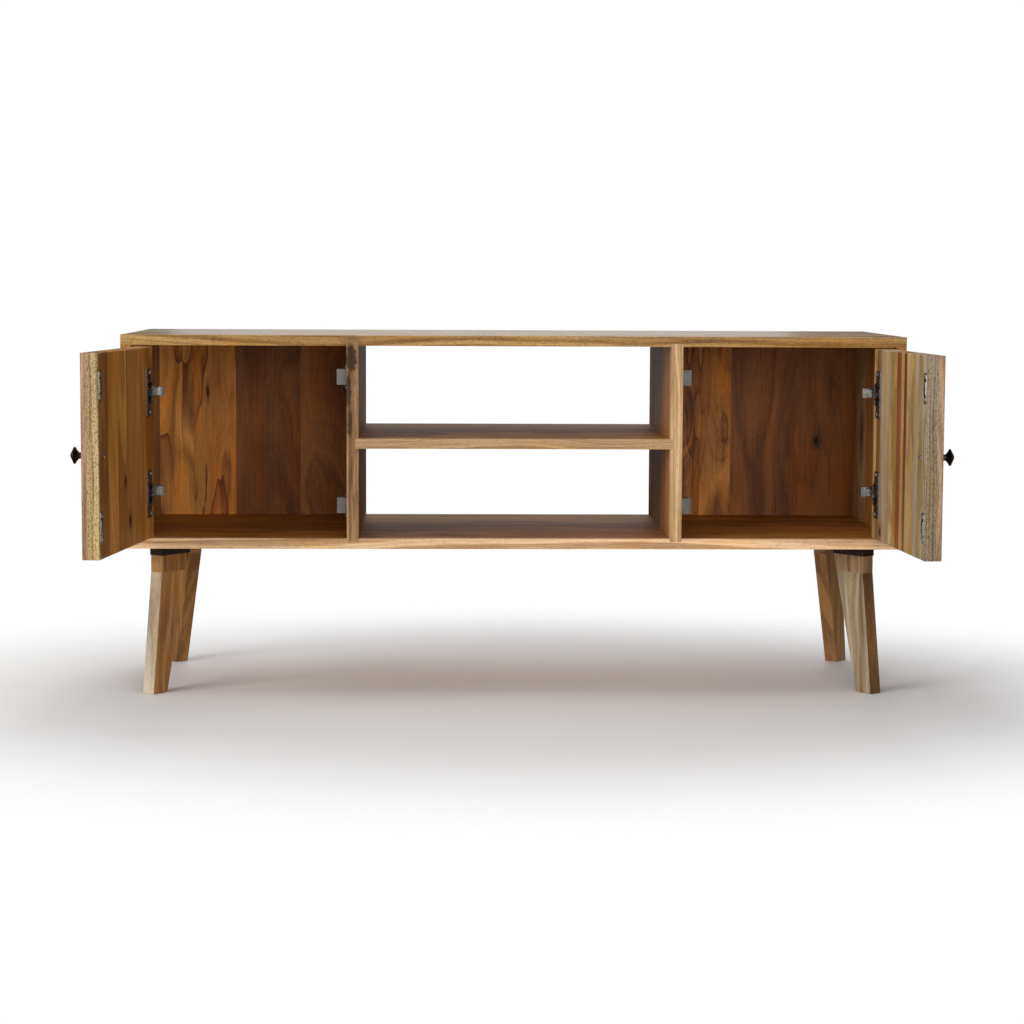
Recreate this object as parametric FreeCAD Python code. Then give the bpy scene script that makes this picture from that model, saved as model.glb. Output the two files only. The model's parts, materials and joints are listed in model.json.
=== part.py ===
"""Low television stand in solid wood with two hinged doors.

Carcass frame used while building: X = 0 on the middle plane, Y = 0 on the front plane with +Y
towards the back, Z = 0 on the floor. Everything is moved as one to the row's origin at the end.
Sides are -1 for left and +1 for right.
"""
import FreeCAD, Part
import math
import os

Vector = FreeCAD.Vector

# ---------------------------------------------------------------- driving dimensions, millimetres
CARCASS_WIDTH = 1200.0
CARCASS_DEPTH = 400.0
CARCASS_HEIGHT = 327.0
FLOOR_CLEARANCE = 228.0          # floor to the underside of the bottom panel
PANEL_THICKNESS = 16.0           # top and bottom panels
SIDE_THICKNESS = 16.0
DIVIDER_THICKNESS = 18.0
BAY_WIDTH = 478.0                # clear width of the open centre bay
HOUSING_DEPTH = 4.5              # grooves that hold the dividers and the shelf
SHELF_THICKNESS = 15.5
SHELF_CLEAR_BELOW = 138.0        # bay floor to the underside of the shelf
BACK_THICKNESS = 8.0
BACK_LAP = 8.0                   # how far a back panel laps into its rebates
BACK_GAP = 0.4                   # room round a back panel in its rebates
PANEL_EASING = 1.0               # rounding of the panels' exposed long edges
SHELF_EASING = 0.5

DOWEL_DIAMETER = 8.0
DOWEL_IN_PANEL = 10.0
DOWEL_IN_SIDE = 18.0
DOWELS_PER_JOINT = 4
DOWEL_END_DISTANCE = 40.0        # front and rear dowel to the carcass's faces
GLUE_GAP = 0.05                  # radial room round a dowel, a bolt or a screw

LEG_TURN = 54.0                  # plan angle between a leg's wide face and the carcass front
LEG_INSET_X = 47.4               # carcass side to the middle of the leg head's outer face
LEG_INSET_Y = 40.0
LEG_TOP_WIDTH = 64.0
LEG_FOOT_WIDTH = 32.0
LEG_THICKNESS = 23.0
LEG_SPLAY = 21.5                 # how far the foot's outer face stands outside the head's
LEG_HEAD_HEIGHT = 26.5
LEG_EASING = 1.2
PAD_THICKNESS = 14.5
PAD_OVERHANG = 1.0
BOLT_DIAMETER = 8.0
BOLT_IN_PAD = 11.0
BOLT_IN_LEG = 24.0
PAD_SCREW_DIAMETER = 4.0
PAD_SCREW_HEAD = 8.0
PAD_SCREW_LENGTH = 24.0
PAD_SCREW_SPACING = 44.0

DOOR_GAP = 2.0                   # all round each closed door
DOOR_BOARD_THICKNESS = 17.5      # inner board of narrow staves
DOOR_FACING_THICKNESS = 8.5      # outer layer
DOOR_EASING = 1.5
PIVOT_INSET = 6.5                # side panel's inner face to the door's turning axis
LEFT_DOOR_OPEN = 97.0            # degrees from closed, as stored
RIGHT_DOOR_OPEN = 93.4

HINGE_OFFSET = 71.0              # opening's floor or ceiling to the hinge's middle
CUP_FROM_EDGE = 22.5             # door edge to the cup's centre
CUP_DIAMETER = 35.0
CUP_DEPTH = 12.5
CUP_WALL = 1.2
FLANGE_THICKNESS = 1.6
FLANGE_RIM = 2.0                 # how far the round flange reaches past the cup
FLANGE_WING_RISE = 18.5          # cup's edge to the wings' upper and lower ends
FLANGE_NEAR = -4.5               # cup's centre to the straight wings' side by the door's edge
FLANGE_FAR = 21.5                # cup's centre to the wings' far side
FLANGE_CORNER = 3.2
CUP_SCREW_IN_WING = 6.0          # cup screw's middle to the wing's end
CUP_SCREW_DIAMETER = 3.5
CUP_SCREW_LENGTH = 13.0
ARM_WIDTH = 15.0
ARM_HEIGHT = 10.0                # above the mounting plate
ARM_REACH = 46.0                 # side panel to the crank's inner face
ARM_NOSE_CLEAR = 0.8             # between the crank and the swept circle of the door's edge
ARM_SHELL = 1.6                  # pressed steel of the arm
LINK_WIDTH = 3.0
LINK_SPREAD = 9.0
LINK_PAST_MIDDLE = 1.0           # how far a link reaches past the cup's centre
PLATE_THICKNESS = 2.5
PLATE_LENGTH = 50.0
PLATE_WING = 48.0
PLATE_WING_WIDTH = 16.0
PLATE_WING_CORNER = 5.3
PLATE_BEHIND_DOOR = 16.0         # closed door's inner face to the plate's front end
PLATE_SCREW_SPACING = 32.0
PLATE_SCREW_DIAMETER = 5.0
PLATE_SCREW_LENGTH = 12.0
PLATE_SCREW_HEAD = 8.0

CATCH_OFFSET = 48.5              # opening's floor or ceiling to the catch's middle
CATCH_WIDTH = 16.0
CATCH_HEIGHT = 24.0
CATCH_LENGTH = 20.0
CATCH_EAR_HEIGHT = 38.0
CATCH_EAR_THICKNESS = 2.2
CATCH_EASING = 1.0
CATCH_SCREW_SPACING = 31.0
CATCH_GAP = 0.4                  # strike plate to catch with the door closed
CATCH_FRONT_WALL = 1.0           # plastic in front of the magnet
MAGNET_WIDTH = 6.0
MAGNET_HEIGHT = 17.0
MAGNET_LENGTH = 12.0
POLE_THICKNESS = 1.2
STRIKE_WIDTH = 13.0
STRIKE_HEIGHT = 44.0
STRIKE_CORNER = 4.3
STRIKE_THICKNESS = 1.2
STRIKE_BOSS_HEIGHT = 18.0
STRIKE_BOSS_WIDTH = 9.0
STRIKE_BOSS_RISE = 1.0
STRIKE_SCREW_SPACING = 32.0
STRIKE_FROM_EDGE = 7.5
SMALL_SCREW_DIAMETER = 3.0
SMALL_SCREW_LENGTH = 12.0
SMALL_SCREW_HEAD = 6.0
SMALL_SCREW_HEAD_RISE = 1.4

KNOB_FROM_EDGE = 28.0
KNOB_DIAMETER = 24.5
KNOB_PROJECTION = 22.6
KNOB_FOOT_DIAMETER = 12.0
KNOB_FOOT_HEIGHT = 1.4
KNOB_NECK_DIAMETER = 9.2
KNOB_NECK_START = 2.6            # heights above the door's face
KNOB_HEAD_START = 10.2
KNOB_RIM_START = 15.4
KNOB_RIM_END = 17.0
KNOB_SCREW_DIAMETER = 4.0
KNOB_SCREW_IN_KNOB = 9.0
KNOB_SCREW_HEAD = 8.0
KNOB_SCREW_HEAD_RISE = 2.0
KNOB_SCREW_HEAD_EASING = 1.2

BACK_SCREW_DIAMETER = 3.0
BACK_SCREW_LENGTH = 14.0
BACK_SCREW_HEAD = 6.0

# ---------------------------------------------------------------- places that follow from them
HALF_WIDTH = CARCASS_WIDTH / 2
UNDERSIDE = FLOOR_CLEARANCE
FLOOR_FACE = UNDERSIDE + PANEL_THICKNESS
CARCASS_TOP = UNDERSIDE + CARCASS_HEIGHT
CEILING = CARCASS_TOP - PANEL_THICKNESS
SIDE_INNER = HALF_WIDTH - SIDE_THICKNESS
DIVIDER_INNER = BAY_WIDTH / 2
DIVIDER_OUTER = DIVIDER_INNER + DIVIDER_THICKNESS
OPENING_WIDTH = SIDE_INNER - DIVIDER_OUTER
DOOR_WIDTH = OPENING_WIDTH - 2 * DOOR_GAP
DOOR_THICKNESS = DOOR_BOARD_THICKNESS + DOOR_FACING_THICKNESS
DOOR_BOTTOM = FLOOR_FACE + DOOR_GAP
DOOR_TOP = CEILING - DOOR_GAP
SHELF_BOTTOM = FLOOR_FACE + SHELF_CLEAR_BELOW
SHELF_TOP = SHELF_BOTTOM + SHELF_THICKNESS
BACK_FACE = CARCASS_DEPTH - BACK_THICKNESS
HINGE_LEVELS = {"lower": FLOOR_FACE + HINGE_OFFSET, "upper": CEILING - HINGE_OFFSET}
CATCH_LEVELS = {"lower": FLOOR_FACE + CATCH_OFFSET, "upper": CEILING - CATCH_OFFSET}
SIDES = {"left": -1, "right": 1}
DOOR_OPEN = {"left": LEFT_DOOR_OPEN, "right": RIGHT_DOOR_OPEN}
CUP_SCREW_OFFSET = CUP_DIAMETER / 2 + FLANGE_WING_RISE - CUP_SCREW_IN_WING
FLANGE_HALF_HEIGHT = CUP_DIAMETER / 2 + FLANGE_WING_RISE
UP = Vector(0, 0, 1)
ALONG_X = Vector(1, 0, 0)
ALONG_Y = Vector(0, 1, 0)
PARALLEL = 0.999                 # cosine above which an edge counts as lying along a direction
TOUCH = 0.01                     # places nearer than this count as one


# ---------------------------------------------------------------- small shape helpers
def block(x, y, z):
    """A box from three (low, high) pairs, given in any order."""
    lows = [min(pair) for pair in (x, y, z)]
    sizes = [abs(pair[1] - pair[0]) for pair in (x, y, z)]
    return Part.makeBox(*sizes, Vector(*lows))


def rod(start, direction, diameter, length):
    """A round bar from a point along a direction."""
    return Part.makeCylinder(diameter / 2, length, Vector(*start), Vector(*direction))


def prism(points, z_low, z_high):
    """A plan outline drawn up from z_low to z_high."""
    corners = [Vector(x, y, z_low) for x, y in points]
    wire = Part.makePolygon(corners + corners[:1])
    return Part.Face(wire).extrude(Vector(0, 0, z_high - z_low))


def is_long(edge, direction, length):
    """True for a straight edge along a direction, at least this long."""
    if len(edge.Vertexes) < 2 or edge.Length < length:
        return False
    run = edge.Vertexes[1].Point - edge.Vertexes[0].Point
    return abs(run.normalize().dot(direction)) > PARALLEL


def eased(solid, radius, wanted):
    """The solid with its wanted edges rounded."""
    edges = [edge for edge in solid.Edges if wanted(edge)]
    return solid.makeFillet(radius, edges) if edges else solid


def group(solids):
    """Separate solids kept in one node."""
    return Part.Compound(solids)


def wood_screw(tip, direction, diameter, length, head, sunk):
    """A screw along a direction, from its tip; a sunk head is a cone, a raised one a low button."""
    axis = Vector(*direction)
    start = Vector(*tip)
    top = start + axis * length
    point = Part.makeCone(0, diameter / 2, diameter, start, axis)
    shank = Part.makeCylinder(diameter / 2, length - diameter, start + axis * diameter, axis)
    if sunk:
        depth = (head - diameter) / 2
        cap = Part.makeCone(diameter / 2, head / 2, depth, top - axis * depth, axis)
    else:
        cap = Part.makeCylinder(head / 2, SMALL_SCREW_HEAD_RISE, top, axis)
    return point.fuse([shank, cap]).removeSplitter()


def screw_hole(tip, direction, diameter, length, head, sunk):
    """The room that a screw takes in what it goes through."""
    axis = Vector(*direction)
    start = Vector(*tip) - axis * GLUE_GAP
    bore = Part.makeCylinder(diameter / 2 + GLUE_GAP, length + GLUE_GAP, start, axis)
    if not sunk:
        return bore
    depth = (head - diameter) / 2 + GLUE_GAP
    bottom = Vector(*tip) + axis * (length - depth)
    sink = Part.makeCone(diameter / 2 + GLUE_GAP, head / 2 + 2 * GLUE_GAP, depth, bottom, axis)
    return bore.fuse(sink)


# ---------------------------------------------------------------- carcass
def dowel_places():
    """Plan places of the dowels down each side panel."""
    run = CARCASS_DEPTH - 2 * DOWEL_END_DISTANCE
    step = run / (DOWELS_PER_JOINT - 1)
    middle = HALF_WIDTH - SIDE_THICKNESS / 2
    return [
        (side * middle, DOWEL_END_DISTANCE + step * count)
        for side in SIDES.values()
        for count in range(DOWELS_PER_JOINT)
    ]


def dowels(room):
    """All the carcass dowels, or with room the holes that hold them."""
    length = DOWEL_IN_PANEL + DOWEL_IN_SIDE + 2 * room
    bottoms = (FLOOR_FACE - DOWEL_IN_PANEL - room, CEILING - DOWEL_IN_SIDE - room)
    return [
        rod((x, y, bottom), UP, DOWEL_DIAMETER + 2 * room, length)
        for x, y in dowel_places()
        for bottom in bottoms
    ]


def back_opening(side, grown):
    """The room of one back panel, grown on every side by this much."""
    return block(
        (side * (DIVIDER_OUTER - BACK_LAP - grown), side * (SIDE_INNER + BACK_LAP + grown)),
        (BACK_FACE, CARCASS_DEPTH),
        (FLOOR_FACE - BACK_LAP - grown, CEILING + BACK_LAP + grown),
    )


def back_panel(side):
    """One compartment's back, loose in its rebates by the gap."""
    return back_opening(side, -BACK_GAP)


def back_screw_places(side):
    """Screw tips and the middle line of the wood that they go into."""
    inner = DIVIDER_OUTER - BACK_LAP / 2
    outer = SIDE_INNER + BACK_LAP / 2
    middle = (inner + outer) / 2
    levels = (FLOOR_FACE - BACK_LAP / 2, (FLOOR_FACE + CEILING) / 2, CEILING + BACK_LAP / 2)
    places = [(x, z) for x in (inner, outer) for z in levels]
    places += [(middle, levels[0]), (middle, levels[2])]
    return [(side * x, CARCASS_DEPTH - BACK_SCREW_LENGTH, z) for x, z in places]


def back_screws(make):
    """Screws, or their holes, that hold both back panels."""
    return [
        make(tip, (0, 1, 0), BACK_SCREW_DIAMETER, BACK_SCREW_LENGTH, BACK_SCREW_HEAD, True)
        for side in SIDES.values()
        for tip in back_screw_places(side)
    ]


def divider_groove(side, z_low, z_high):
    """The groove in the top or bottom panel that holds a divider."""
    return block((side * DIVIDER_INNER, side * DIVIDER_OUTER), (0, CARCASS_DEPTH), (z_low, z_high))


def carcass_cuts():
    """Everything that is taken out of the carcass's panels."""
    cuts = dowels(GLUE_GAP) + back_screws(screw_hole)
    cuts += [back_opening(side, 0) for side in SIDES.values()]
    return cuts


def cross_panel(z_low, z_high, groove, outer_face, extra_cuts):
    """The top or bottom panel, with its grooves for the dividers."""
    panel = block((-HALF_WIDTH, HALF_WIDTH), (0, CARCASS_DEPTH), (z_low, z_high))

    def wanted(edge):
        on_face = abs(edge.BoundBox.Center.z - outer_face) < TOUCH
        flat = edge.BoundBox.ZLength < TOUCH
        upright = is_long(edge, UP, PANEL_THICKNESS / 2)
        return (on_face and flat) or upright

    panel = eased(panel, PANEL_EASING, wanted)
    grooves = [divider_groove(side, *groove) for side in SIDES.values()]
    return panel.cut(carcass_cuts() + grooves + extra_cuts)


def side_panel(side, extra_cuts):
    """A side panel, rounded along its front edges."""
    panel = block((side * SIDE_INNER, side * HALF_WIDTH), (0, CARCASS_DEPTH), (FLOOR_FACE, CEILING))

    def wanted(edge):
        return is_long(edge, UP, PANEL_THICKNESS) and edge.BoundBox.YMin < TOUCH

    return eased(panel, PANEL_EASING, wanted).cut(carcass_cuts() + extra_cuts)


def divider(side, extra_cuts):
    """A divider, housed in the top and bottom panels, with the shelf's groove."""
    low, high = FLOOR_FACE - HOUSING_DEPTH, CEILING + HOUSING_DEPTH
    panel = block((side * DIVIDER_INNER, side * DIVIDER_OUTER), (0, CARCASS_DEPTH), (low, high))
    shelf_groove = block(
        (side * (DIVIDER_INNER + HOUSING_DEPTH), side * DIVIDER_INNER),
        (0, CARCASS_DEPTH),
        (SHELF_BOTTOM, SHELF_TOP),
    )
    return panel.cut(carcass_cuts() + [shelf_groove] + extra_cuts)


def centre_shelf():
    """The fixed shelf, housed in both dividers."""
    reach = DIVIDER_INNER + HOUSING_DEPTH
    shelf = block((-reach, reach), (0, CARCASS_DEPTH), (SHELF_BOTTOM, SHELF_TOP))
    return eased(shelf, SHELF_EASING, lambda edge: is_long(edge, ALONG_X, BAY_WIDTH))


# ---------------------------------------------------------------- legs
LEG_TOP = UNDERSIDE - PAD_THICKNESS
HEAD_BOTTOM = LEG_TOP - LEG_HEAD_HEIGHT
LEG_PLACES = {
    "front_left": (-1, -1),
    "front_right": (1, -1),
    "rear_left": (-1, 1),
    "rear_right": (1, 1),
}
BOLT_ACROSS = -LEG_TOP_WIDTH / 2


def leg_placement(name):
    """Turns a leg drawn along +X, with its outer head face on X = 0, to its corner."""
    side, end = LEG_PLACES[name]
    x = side * (HALF_WIDTH - LEG_INSET_X)
    y = LEG_INSET_Y if end < 0 else CARCASS_DEPTH - LEG_INSET_Y
    turn = math.radians(LEG_TURN)
    outward = Vector(side * math.cos(turn), end * math.sin(turn), 0)
    return FreeCAD.Placement(Vector(x, y, 0), FreeCAD.Rotation(ALONG_X, outward))


def placed(shape, placement):
    """A copy of the shape, moved and turned."""
    moved = shape.copy()
    moved.transformShape(placement.toMatrix(), True)
    return moved


def leg_inner(z):
    """Distance from the head's outer face to the leg's straight inner edge, at a height."""
    top, foot = -LEG_TOP_WIDTH, LEG_SPLAY - LEG_FOOT_WIDTH
    return foot + (top - foot) * z / LEG_TOP


def leg_board(outline):
    """A board cut to an outline in X and Z, with its four long edges rounded."""
    points = [Vector(x, -LEG_THICKNESS / 2, z) for x, z in outline]
    face = Part.Face(Part.makePolygon(points + points[:1]))
    board = face.extrude(Vector(0, LEG_THICKNESS, 0))

    def wanted(edge):
        return edge.BoundBox.ZLength > LEG_HEAD_HEIGHT / 2

    return eased(board, LEG_EASING, wanted)


def bolt(room):
    """The hanger bolt through a leg's pad, head and leg, or with room its hole."""
    low = HEAD_BOTTOM - BOLT_IN_LEG - room
    high = LEG_TOP + BOLT_IN_PAD + room
    return rod((BOLT_ACROSS, 0, low), (0, 0, 1), BOLT_DIAMETER + 2 * room, high - low)


def leg():
    """The tapered board below the head, its foot cut level."""
    joint_inner = leg_inner(HEAD_BOTTOM)
    outline = [(0, HEAD_BOTTOM), (LEG_SPLAY, 0), (leg_inner(0), 0), (joint_inner, HEAD_BOTTOM)]
    return leg_board(outline).cut(bolt(GLUE_GAP))


def leg_head():
    """The block between the tapered board and the pad, upright on its outer side."""
    joint_inner = leg_inner(HEAD_BOTTOM)
    outline = [(0, LEG_TOP), (0, HEAD_BOTTOM), (joint_inner, HEAD_BOTTOM), (leg_inner(LEG_TOP), LEG_TOP)]
    return leg_board(outline).cut(bolt(GLUE_GAP))


def pad_screws(make):
    """The two screws, or their holes, that hold a pad up to the bottom panel."""
    return [
        make(
            (BOLT_ACROSS + offset, 0, LEG_TOP + PAD_SCREW_LENGTH), (0, 0, -1),
            PAD_SCREW_DIAMETER, PAD_SCREW_LENGTH, PAD_SCREW_HEAD, True,
        )
        for offset in (-PAD_SCREW_SPACING / 2, PAD_SCREW_SPACING / 2)
    ]


def leg_pad():
    """The pad between a leg and the bottom panel."""
    half = LEG_THICKNESS / 2 + PAD_OVERHANG
    pad = block((-LEG_TOP_WIDTH - PAD_OVERHANG, PAD_OVERHANG), (-half, half), (LEG_TOP, UNDERSIDE))
    pad = eased(pad, LEG_EASING, lambda edge: is_long(edge, UP, PAD_THICKNESS / 2))
    return pad.cut([bolt(GLUE_GAP)] + pad_screws(screw_hole))


# ---------------------------------------------------------------- doors, drawn closed
def door_x(side, from_edge):
    """X of a place on the closed door, measured from its hinge edge."""
    return side * (SIDE_INNER - DOOR_GAP - from_edge)


def pivot(side):
    """Plan place of a door's turning axis."""
    return Vector(side * (SIDE_INNER - PIVOT_INSET), 0, 0)


def door_layer(side, y_low, y_high, rounded_face):
    """One layer of a door, rounded at the edges of its outer face."""
    across = (door_x(side, 0), door_x(side, DOOR_WIDTH))
    layer = block(across, (y_low, y_high), (DOOR_BOTTOM, DOOR_TOP))

    def wanted(edge):
        return abs(edge.BoundBox.Center.y - rounded_face) < TOUCH and edge.BoundBox.YLength < TOUCH

    return eased(layer, DOOR_EASING, wanted)


def cup_places(side):
    """Centre of each cup on the door's inner face."""
    x = door_x(side, CUP_FROM_EDGE)
    return [Vector(x, DOOR_THICKNESS, level) for level in HINGE_LEVELS.values()]


def sunk_disc(centre, radius, depth):
    """A disc sunk this deep into the door's inner face."""
    return Part.makeCylinder(radius, depth, centre - ALONG_Y * depth, ALONG_Y)


def cup_recesses(side):
    """The round recesses that hold the cups."""
    radius = CUP_DIAMETER / 2 + GLUE_GAP
    return [sunk_disc(centre, radius, CUP_DEPTH + GLUE_GAP) for centre in cup_places(side)]


def cup_screws(side, make):
    """Screws, or their holes, through the cups' flanges into the door."""
    tip_y = DOOR_THICKNESS + FLANGE_THICKNESS - CUP_SCREW_LENGTH
    return [
        make(
            (door_x(side, CUP_FROM_EDGE), tip_y, centre.z + offset), (0, 1, 0),
            CUP_SCREW_DIAMETER, CUP_SCREW_LENGTH, SMALL_SCREW_HEAD, False,
        )
        for centre in cup_places(side)
        for offset in (-CUP_SCREW_OFFSET, CUP_SCREW_OFFSET)
    ]


def hinge_cup(side, centre):
    """A pressed cup with its screw flange."""
    face = centre + ALONG_Y * FLANGE_THICKNESS
    flange = sunk_disc(face, CUP_DIAMETER / 2 + FLANGE_RIM, FLANGE_THICKNESS)
    wing = block(
        (door_x(side, CUP_FROM_EDGE + FLANGE_NEAR), door_x(side, CUP_FROM_EDGE + FLANGE_FAR)),
        (centre.y, face.y),
        (centre.z - FLANGE_HALF_HEIGHT, centre.z + FLANGE_HALF_HEIGHT),
    )
    wing = eased(wing, FLANGE_CORNER, lambda edge: is_long(edge, ALONG_Y, FLANGE_THICKNESS / 2))
    bowl = sunk_disc(centre, CUP_DIAMETER / 2, CUP_DEPTH)
    hollow = sunk_disc(face, CUP_DIAMETER / 2 - CUP_WALL, CUP_DEPTH + FLANGE_THICKNESS - CUP_WALL)
    return flange.fuse([wing, bowl]).removeSplitter().cut([hollow] + cup_screws(side, screw_hole))


def link_plates(side, centre):
    """The two short links that lie in a cup, inside the circle that the door's edge sweeps."""
    swept_radius = math.hypot(DOOR_THICKNESS, PIVOT_INSET - DOOR_GAP)
    swept_bottom = pivot(side) + UP * (centre.z - CUP_DIAMETER / 2)
    swept = Part.makeCylinder(swept_radius, CUP_DIAMETER, swept_bottom, UP)
    bowl = sunk_disc(centre, CUP_DIAMETER / 2 - CUP_WALL, CUP_DEPTH)
    links = []
    for direction in (-1, 1):
        middle = centre.z + direction * LINK_SPREAD / 2
        plate = block(
            (door_x(side, CUP_FROM_EDGE - CUP_DIAMETER / 2), door_x(side, CUP_FROM_EDGE + LINK_PAST_MIDDLE)),
            (DOOR_THICKNESS - CUP_DEPTH + CUP_WALL, DOOR_THICKNESS),
            (middle - LINK_WIDTH / 2, middle + LINK_WIDTH / 2),
        )
        links.append(plate.common(bowl).common(swept))
    return links


def strike_centres(side):
    """Centre of each strike plate on the door's inner face."""
    x = door_x(side, DOOR_WIDTH - STRIKE_FROM_EDGE)
    return [Vector(x, DOOR_THICKNESS, level) for level in CATCH_LEVELS.values()]


def strike_screws(side, make):
    """Screws, or their holes, through the strike plates into the door."""
    tip_y = DOOR_THICKNESS + STRIKE_THICKNESS - SMALL_SCREW_LENGTH
    return [
        make(
            (centre.x, tip_y, centre.z + offset), (0, 1, 0),
            SMALL_SCREW_DIAMETER, SMALL_SCREW_LENGTH, SMALL_SCREW_HEAD, False,
        )
        for centre in strike_centres(side)
        for offset in (-STRIKE_SCREW_SPACING / 2, STRIKE_SCREW_SPACING / 2)
    ]


def strike_plate(side, centre):
    """A steel plate with a raised middle, which the catch holds."""
    def slab(width, height, low, high):
        return block(
            (centre.x - width / 2, centre.x + width / 2),
            (DOOR_THICKNESS + low, DOOR_THICKNESS + high),
            (centre.z - height / 2, centre.z + height / 2),
        )

    plate = slab(STRIKE_WIDTH, STRIKE_HEIGHT, 0, STRIKE_THICKNESS)
    plate = eased(plate, STRIKE_CORNER, lambda edge: is_long(edge, ALONG_Y, STRIKE_THICKNESS / 2))
    boss = slab(STRIKE_BOSS_WIDTH, STRIKE_BOSS_HEIGHT, 0, STRIKE_THICKNESS + STRIKE_BOSS_RISE)
    return plate.fuse(boss).removeSplitter().cut(strike_screws(side, screw_hole))


def knob_centre(side):
    """The knob's middle on the door's outer face."""
    return Vector(door_x(side, DOOR_WIDTH - KNOB_FROM_EDGE), 0, (DOOR_BOTTOM + DOOR_TOP) / 2)


def knob(side):
    """A mushroom knob turned about an axis that points out of the door."""
    foot, neck, rim = KNOB_FOOT_DIAMETER / 2, KNOB_NECK_DIAMETER / 2, KNOB_DIAMETER / 2
    outline = [
        (0, 0),
        (foot, 0),
        (foot, KNOB_FOOT_HEIGHT),
        (neck, KNOB_NECK_START),
        (neck, KNOB_HEAD_START),
        (rim, KNOB_RIM_START),
        (rim, KNOB_RIM_END),
    ]
    points = [Vector(radius, -height, 0) for radius, height in outline]
    crown = Vector(0, -KNOB_PROJECTION, 0)
    rise = KNOB_PROJECTION - KNOB_RIM_END
    dome_radius = (rim ** 2 + rise ** 2) / (2 * rise)
    half_turn = math.asin(rim / dome_radius) / 2
    shoulder_drop = dome_radius * (1 - math.cos(half_turn))
    shoulder = Vector(dome_radius * math.sin(half_turn), shoulder_drop - KNOB_PROJECTION, 0)
    sides = [Part.LineSegment(a, b).toShape() for a, b in zip(points, points[1:])]
    dome = Part.Arc(points[-1], shoulder, crown).toShape()
    closing = Part.LineSegment(crown, points[0]).toShape()
    profile = Part.Face(Part.Wire(sides + [dome, closing]))
    turned = profile.revolve(Vector(0, 0, 0), ALONG_Y, 360)
    turned.translate(knob_centre(side))
    return turned.cut(knob_screw_room(side))


def knob_screw_room(side):
    """The hole for the knob's screw, from the knob to the door's inner face."""
    start = knob_centre(side) - ALONG_Y * (KNOB_SCREW_IN_KNOB + GLUE_GAP)
    length = DOOR_THICKNESS + KNOB_SCREW_IN_KNOB + GLUE_GAP
    return rod(start, ALONG_Y, KNOB_SCREW_DIAMETER + 2 * GLUE_GAP, length)


def knob_screw(side):
    """A machine screw with a domed head on the door's inner face."""
    start = knob_centre(side) - ALONG_Y * KNOB_SCREW_IN_KNOB
    shank = rod(start, ALONG_Y, KNOB_SCREW_DIAMETER, DOOR_THICKNESS + KNOB_SCREW_IN_KNOB)
    seat = knob_centre(side) + ALONG_Y * DOOR_THICKNESS
    head = rod(seat, ALONG_Y, KNOB_SCREW_HEAD, KNOB_SCREW_HEAD_RISE)

    def wanted(edge):
        return edge.BoundBox.YMin > DOOR_THICKNESS + KNOB_SCREW_HEAD_RISE - TOUCH

    return shank.fuse(eased(head, KNOB_SCREW_HEAD_EASING, wanted)).removeSplitter()


def door_nodes(name):
    """Every node of one door, turned to the angle at which it is stored."""
    side = SIDES[name]
    board_cuts = cup_recesses(side) + [knob_screw_room(side)]
    board_cuts += cup_screws(side, screw_hole) + strike_screws(side, screw_hole)
    board = door_layer(side, DOOR_FACING_THICKNESS, DOOR_THICKNESS, DOOR_THICKNESS).cut(board_cuts)
    facing = door_layer(side, 0, DOOR_FACING_THICKNESS, 0).cut(knob_screw_room(side))
    links = [plate for centre in cup_places(side) for plate in link_plates(side, centre)]
    nodes = {
        "door_board": board,
        "door_facing": facing,
        "door_knob": knob(side),
        "knob_screw": knob_screw(side),
        "hinge_cups": group([hinge_cup(side, centre) for centre in cup_places(side)]),
        "hinge_links": group(links),
        "hinge_cup_screws": group(cup_screws(side, wood_screw)),
        "strike_plates": group([strike_plate(side, centre) for centre in strike_centres(side)]),
        "strike_screws": group(strike_screws(side, wood_screw)),
    }
    for shape in nodes.values():
        shape.rotate(pivot(side), UP, side * DOOR_OPEN[name])
    return {f"{name}_{node}": shape for node, shape in nodes.items()}


# ---------------------------------------------------------------- hinge arms and plates
PLATE_FRONT = DOOR_THICKNESS + PLATE_BEHIND_DOOR
PLATE_SCREW_Y = PLATE_FRONT + PLATE_LENGTH / 2


def from_side(side, distance):
    """X of a place that far inside the side panel's inner face."""
    return side * (SIDE_INNER - distance)


def plate_screws(side, make):
    """Screws, or their holes, through the mounting plates into the side panel."""
    tip_x = from_side(side, PLATE_THICKNESS - PLATE_SCREW_LENGTH)
    return [
        make(
            (tip_x, PLATE_SCREW_Y, level + offset), (-side, 0, 0),
            PLATE_SCREW_DIAMETER, PLATE_SCREW_LENGTH, PLATE_SCREW_HEAD, False,
        )
        for level in HINGE_LEVELS.values()
        for offset in (-PLATE_SCREW_SPACING / 2, PLATE_SCREW_SPACING / 2)
    ]


def mounting_plate(side, level):
    """The plate under a hinge arm, with a wing for a screw above and below it."""
    def slab(half_length, half_height):
        return block(
            (from_side(side, 0), from_side(side, PLATE_THICKNESS)),
            (PLATE_SCREW_Y - half_length, PLATE_SCREW_Y + half_length),
            (level - half_height, level + half_height),
        )

    bar = slab(PLATE_LENGTH / 2, ARM_WIDTH / 2)
    wing = slab(PLATE_WING_WIDTH / 2, PLATE_WING / 2)
    wing = eased(wing, PLATE_WING_CORNER, lambda edge: is_long(edge, ALONG_X, PLATE_THICKNESS / 2))
    return bar.fuse(wing).removeSplitter().cut(plate_screws(side, screw_hole))


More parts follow.
